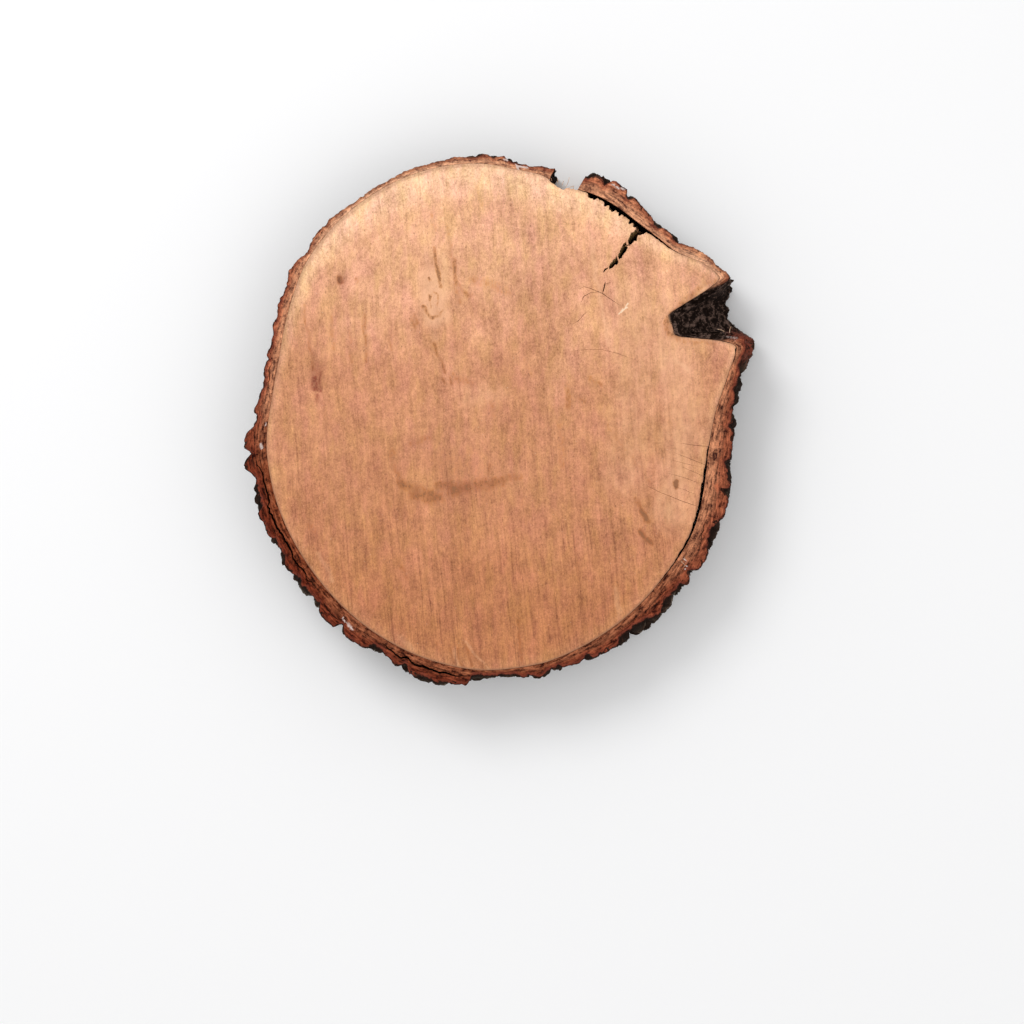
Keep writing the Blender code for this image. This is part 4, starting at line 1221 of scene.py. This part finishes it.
def barkMaterial():
    material, tree, surface = newMaterial("roughBark")
    place, (x, y, z) = objectPlace(tree)
    look = barkFinish
    across = attribute(tree, "across")
    crust = attribute(tree, "crust")
    hollow = attribute(tree, "hollow")
    crack = attribute(tree, "fineCrack")
    tone = attribute(tree, "plateTone")
    pale = attribute(tree, "tone")
    notch = attribute(tree, "notch")
    wide = attribute(tree, "wide")
    along = attribute(tree, "along")
    coarse = noiseAt(tree, place, 0.045, 3.0, 0.6)
    middle = noiseAt(tree, place, 0.22, 4.0, 0.65)
    chips = noiseAt(tree, place, 0.62, 3.0, 0.65)
    fine = noiseAt(tree, place, 1.3, 3.0, 0.7)
    specks = noiseAt(tree, place, 2.6, 2.0, 0.6)

    # Sawn rim: layers run along it, paler inner bark, redder outer bark, a dark crust at the edge
    depthIn = across * wide
    layers = noiseAt(tree, vector(tree, depthIn * 0.80, along * 0.15, 0.0), 1.0, 3.0, 0.62)
    flakes = noiseAt(tree, vector(tree, depthIn * 1.25, along * 0.22, 7.0), 1.0, 3.0, 0.62)
    seams = noiseAt(tree, vector(tree, depthIn * 0.95, along * 0.085, 19.0), 1.0, 2.0, 0.55)
    light = (pale + (middle - 0.5) * 0.5 * pale + (layers - 0.5) * 0.35).clipped()
    lower, upper = (light * 2.2).clipped(), (light * 1.8 - 0.8).clipped()
    inner = mixColour(tree, upper, mixColour(tree, lower, look["innerDeep"], look["innerMiddle"]), look["innerPale"])
    outer = mixColour(tree, upper, mixColour(tree, lower, look["outerDeep"], look["outerMiddle"]), look["outerPale"])
    layer = (across + (layers - 0.5) * 0.7 + (middle - 0.5) * 0.3).rising(0.25, 0.70)
    rim = mixColour(tree, layer, inner, outer)
    rim = mixColour(tree, flakes.rising(0.56, 0.68) * (0.14 + 0.12 * light), rim, look["orange"])
    shade = (layers - 0.5) * 2.2 + (middle - 0.5) * 1.1 + (chips - 0.5) * 1.3 + (fine - 0.5) * 0.9
    shade = shade * (1.25 - light * 0.5)
    rim = mixColour(tree, 1.0, rim, mixColour(
        tree, (0.5 + shade).clipped(), look["shadeDark"], look["shadeLight"]), "MULTIPLY")
    seam = seams.rising(0.60, 0.66) * across.rising(0.12, 0.32) * (0.85 - light * 1.6)
    rim = mixColour(tree, seam.clipped() * 0.85, rim, look["furrow"])
    scab = (middle + (chips - 0.5) * 0.7).rising(0.56, 0.70) * (0.85 - light * 1.8) * across.rising(0.15, 0.45)
    rim = mixColour(tree, scab.clipped() * 0.75, rim, look["crustEdge"])
    toEdge = wide - depthIn + (chips - 0.5) * 2.2 + (middle - 0.5) * 1.6
    rim = mixColour(tree, toEdge.rising(2.8, 0.9) * (0.75 - upper * 0.5), rim, look["redEdge"])
    rim = mixColour(tree, toEdge.rising(1.25, 0.25) * (1.0 - light * 0.55), rim, look["crustEdge"])
    rim = mixColour(tree, (fine + (flakes - 0.5) * 0.4).rising(0.72, 0.80) * (0.25 + 0.4 * light), rim, look["glint"])
    # Painted shade: the rim turns near black where it dips into the splits
    rim = mixColour(tree, z.rising(38.6, 36.5) * (1.0 - notch), rim, look["furrow"])
    marks = attribute(tree, "white")
    marks = (marks + (fine - 0.5) * 0.9).rising(0.30, 0.75) * marks.rising(0.0, 0.3)

    # Outside: grey-brown plates with lichen, dark furrows and cracks deepened with painted shade, red where a layer has
    # come off
    plate = mixColour(tree, (middle * 1.5 - 0.35 + (tone - 0.5) * 0.6).clipped(), look["plate"], look["plateGrey"])
    plate = mixColour(tree, (coarse + tone * 0.3).rising(0.62, 0.80) * 0.75, plate, look["plateRed"])
    lichen = (coarse * 0.7 + middle * 0.6 + tone * 0.25).rising(0.80, 0.95) * fine.rising(0.36, 0.58)
    plate = mixColour(tree, lichen * 0.75, plate, look["lichen"])
    white = (middle * 0.8 + coarse * 0.25 + tone * 0.3).rising(0.88, 0.98) * specks.rising(0.40, 0.58)
    plate = mixColour(tree, white * 0.7, plate, look["lichenWhite"])
    plate = mixColour(tree, (1.05 - fine * 1.2).clipped() * 0.6, plate, look["furrow"])
    # Painted shade: the furrows between plates and the fine cracks go near black
    plate = mixColour(tree, hollow.rising(0.25, 0.85) * 0.88, plate, look["furrow"])
    plate = mixColour(tree, crack.rising(0.15, 0.9) * 0.85, plate, look["furrow"])
    # Painted shade, partly dark crust: the outside darkens towards its upper edge
    brinkShade = z.rising(31.0, 38.6) * (0.55 + 0.6 * middle)
    plate = mixColour(tree, brinkShade.clipped() * 0.90, plate, mixColour(
        tree, chips.rising(0.50, 0.64), look["crustEdge"], look["plateRed"]))
    # Notch: reddish lumps and pale flecks of its own, with painted shade in near black between them
    lumpy = (middle - 0.5) * 1.7 + (chips - 0.5) * 1.2
    dark = mixColour(tree, lumpy.rising(-0.05, 0.34), look["furrow"], look["notchPlate"])
    dark = mixColour(tree, (fine + (chips - 0.5) * 0.5).rising(0.66, 0.76) * 0.50, dark, look["notchFleck"])
    dark = mixColour(tree, specks.rising(0.46, 0.34) * 0.7, dark, look["furrow"])
    # Painted shade: upward-facing parts of the outside go near black
    plate = mixColour(tree, attribute(tree, "ledgeShade") * 0.85, plate, look["ledgeShade"])
    lip = x.rising(117.0, 124.0) * y.rising(24.0, 38.0) * y.rising(53.0, 46.0) * z.rising(6.0, 22.0)
    plate = mixColour(tree, notch.rising(0.05, 0.5), plate, dark)
    plate = mixColour(tree, lip * (chips + (middle - 0.5)).rising(0.36, 0.56) * 0.9, plate, look["redEdge"])

    lining = notch.rising(0.04, 0.40) * (depthIn + (chips - 0.5) * 0.8).rising(-0.2, 0.3)
    colour = mixColour(tree, (crust + lining).clipped(), rim, plate)
    colour = mixColour(tree, marks * 0.85, colour, look["whiteMark"])
    tree.links.new(colour.socket, surface.inputs["Base Color"])
    rough = look["roughness"] + (fine - 0.5) * 0.25
    tree.links.new(rough.clipped().socket, surface.inputs["Roughness"])
    surface.inputs["Specular IOR Level"].default_value = 0.05
    height = middle * 1.2 + chips * 0.9 + fine * 0.9 + specks * 0.35 + white * 0.6 + layers * 0.6 - seam * 1.2
    bump = add(tree, "ShaderNodeBump", {}, {"Height": height, "Distance": look["bumpDepth"], "Strength": 0.9})
    tree.links.new(bump.socket, surface.inputs["Normal"])
    return material


def makeBark():
    mesh = barkMesh()
    piece = newObject("barkFine", mesh)
    finish = barkMaterial()
    tree, inputs, finishId = barkReliefTree()
    modifier = piece.modifiers.new("barkRelief", "NODES")
    modifier.node_group = tree
    for identifier, value in inputs.values():
        modifier[identifier] = value
    modifier[finishId] = finish
    mesh = baked(piece)
    mesh.vertices.foreach_set("co", np.clip(pointsOf(mesh), *np.array(cadBox)).ravel())
    # Painted shade mask: how far each point of the bark's outside faces upward
    upward = np.empty(len(mesh.vertices) * 3)
    mesh.vertices.foreach_get("normal", upward)
    setAttribute(mesh, "ledgeShade", np.clip((upward[2::3] - 0.1) / 0.5, 0.0, 1.0))
    mesh.materials.clear()
    mesh.materials.append(finish)
    mesh.shade_smooth()
    mesh.set_sharp_from_angle(angle=math.radians(55))
    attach(piece, "root")
    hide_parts("bark")
    print("bark:", len(mesh.polygons), "faces")
    return piece


makeBark()

# Loose fibres where bark was torn from the wood: root in mm, heading in degrees, length and bend in mm
fibres = {
    "radius": 0.00013,
    "sides": 4,
    "pieces": 7,
    "tufts": [
        ((35.0, 121.2, 39.3), 58, 5.2, 1.2), ((36.4, 120.4, 38.6), 40, 3.2, -0.8), ((30.6, 123.4, 39.0), 75, 2.2, 0.6),
        ((41.4, 117.6, 38.8), 66, 2.4, 0.7), ((33.0, 122.3, 37.0), 84, 2.6, -0.6), ((27.6, 124.6, 38.4), 100, 2.0, 0.5),
        ((56.0, 118.6, 39.4), 62, 4.0, 1.4), ((60.2, 117.0, 39.2), 20, 4.2, 1.8), ((63.0, 115.4, 39.4), 48, 3.6, -1.0),
        ((12.4, 128.6, 39.6), 110, 4.4, 0.8), ((14.0, 128.2, 39.5), 96, 3.0, -0.8), ((18.6, 127.6, 39.5), 84, 3.4, 1.0),
        ((94.6, -74.6, 39.6), 300, 4.6, 2.2), ((96.6, -72.6, 39.5), 262, 4.2, -1.6), ((97.0, -77.0, 39.5), 215, 3.0, 1.0),
        ((117.6, 44.6, 39.4), 140, 3.6, 1.2), ((120.4, 44.0, 39.3), 96, 3.2, -1.0), ((91.0, 45.6, 38.6), 80, 3.4, 0.9),
        ((38.6, 119.2, 36.0), 70, 2.6, 0.8), ((39.8, 118.4, 33.0), 58, 3.0, -0.7)],
}


def fibreTree():
    # Thin tubes along the drawn paths
    tree = bpy.data.node_groups.new("looseFibres", "GeometryNodeTree")
    tree.interface.new_socket("Geometry", in_out="INPUT", socket_type="NodeSocketGeometry")
    radius = tree.interface.new_socket("Fibre radius", in_out="INPUT", socket_type="NodeSocketFloat")
    sides = tree.interface.new_socket("Sides", in_out="INPUT", socket_type="NodeSocketInt")
    finish = tree.interface.new_socket("Finish", in_out="INPUT", socket_type="NodeSocketMaterial")
    tree.interface.new_socket("Geometry", in_out="OUTPUT", socket_type="NodeSocketGeometry")
    start = tree.nodes.new("NodeGroupInput")
    end = tree.nodes.new("NodeGroupOutput")

    def given(name):
        return Wire(tree, start.outputs[name])

    paths = add(tree, "GeometryNodeMeshToCurve", {}, {"Mesh": given("Geometry")})
    profile = add(tree, "GeometryNodeCurvePrimitiveCircle", {}, {"Resolution": given("Sides"), "Radius": given("Fibre radius")})
    tubes = add(tree, "GeometryNodeCurveToMesh", {}, {"Curve": paths, "Profile Curve": profile, "Fill Caps": True})
    real = add(tree, "GeometryNodeRealizeInstances", {}, {0: tubes})
    finished = add(tree, "GeometryNodeSetMaterial", {}, {"Geometry": real, "Material": given("Finish")})
    tree.links.new(finished.socket, end.inputs[0])
    return tree, {radius.identifier: fibres["radius"], sides.identifier: fibres["sides"]}, finish.identifier


def fibreMaterial():
    material, tree, surface = newMaterial("looseFibre")
    place, _ = objectPlace(tree)
    tint = noiseAt(tree, place, 0.9, 2.0)
    colour = mixColour(tree, tint.rising(0.35, 0.65), (0.46, 0.235, 0.12), (0.86, 0.62, 0.44))
    tree.links.new(colour.socket, surface.inputs["Base Color"])
    surface.inputs["Roughness"].default_value = 0.8
    return material


def makeFibres():
    points, edges = [], []
    for root, heading, length, bend in fibres["tufts"]:
        turn = math.radians(heading)
        ahead, side = Vector((math.cos(turn), math.sin(turn), 0.0)), Vector((-math.sin(turn), math.cos(turn), 0.0))
        for k in range(fibres["pieces"]):
            t = k / (fibres["pieces"] - 1)
            spot = Vector(root) + ahead * (length * t) + side * (bend * t * t) - Vector((0.0, 0.0, 0.8 * t * t))
            if k:
                edges.append((len(points) - 1, len(points)))
            points.append(tuple(spot / 1000))
    mesh = bpy.data.meshes.new("looseFibres")
    mesh.from_pydata(points, edges, [])
    piece = newObject("looseFibres", mesh)
    finish = fibreMaterial()
    tree, inputs, finishId = fibreTree()
    modifier = piece.modifiers.new("tubes", "NODES")
    modifier.node_group = tree
    for identifier, value in inputs.items():
        modifier[identifier] = value
    modifier[finishId] = finish
    mesh = baked(piece)
    cleaned(mesh)
    mesh.materials.clear()
    mesh.materials.append(finish)
    mesh.shade_smooth()
    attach(piece, "root")
    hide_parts("bark")
    print("fibres:", len(mesh.polygons), "faces")


makeFibres()
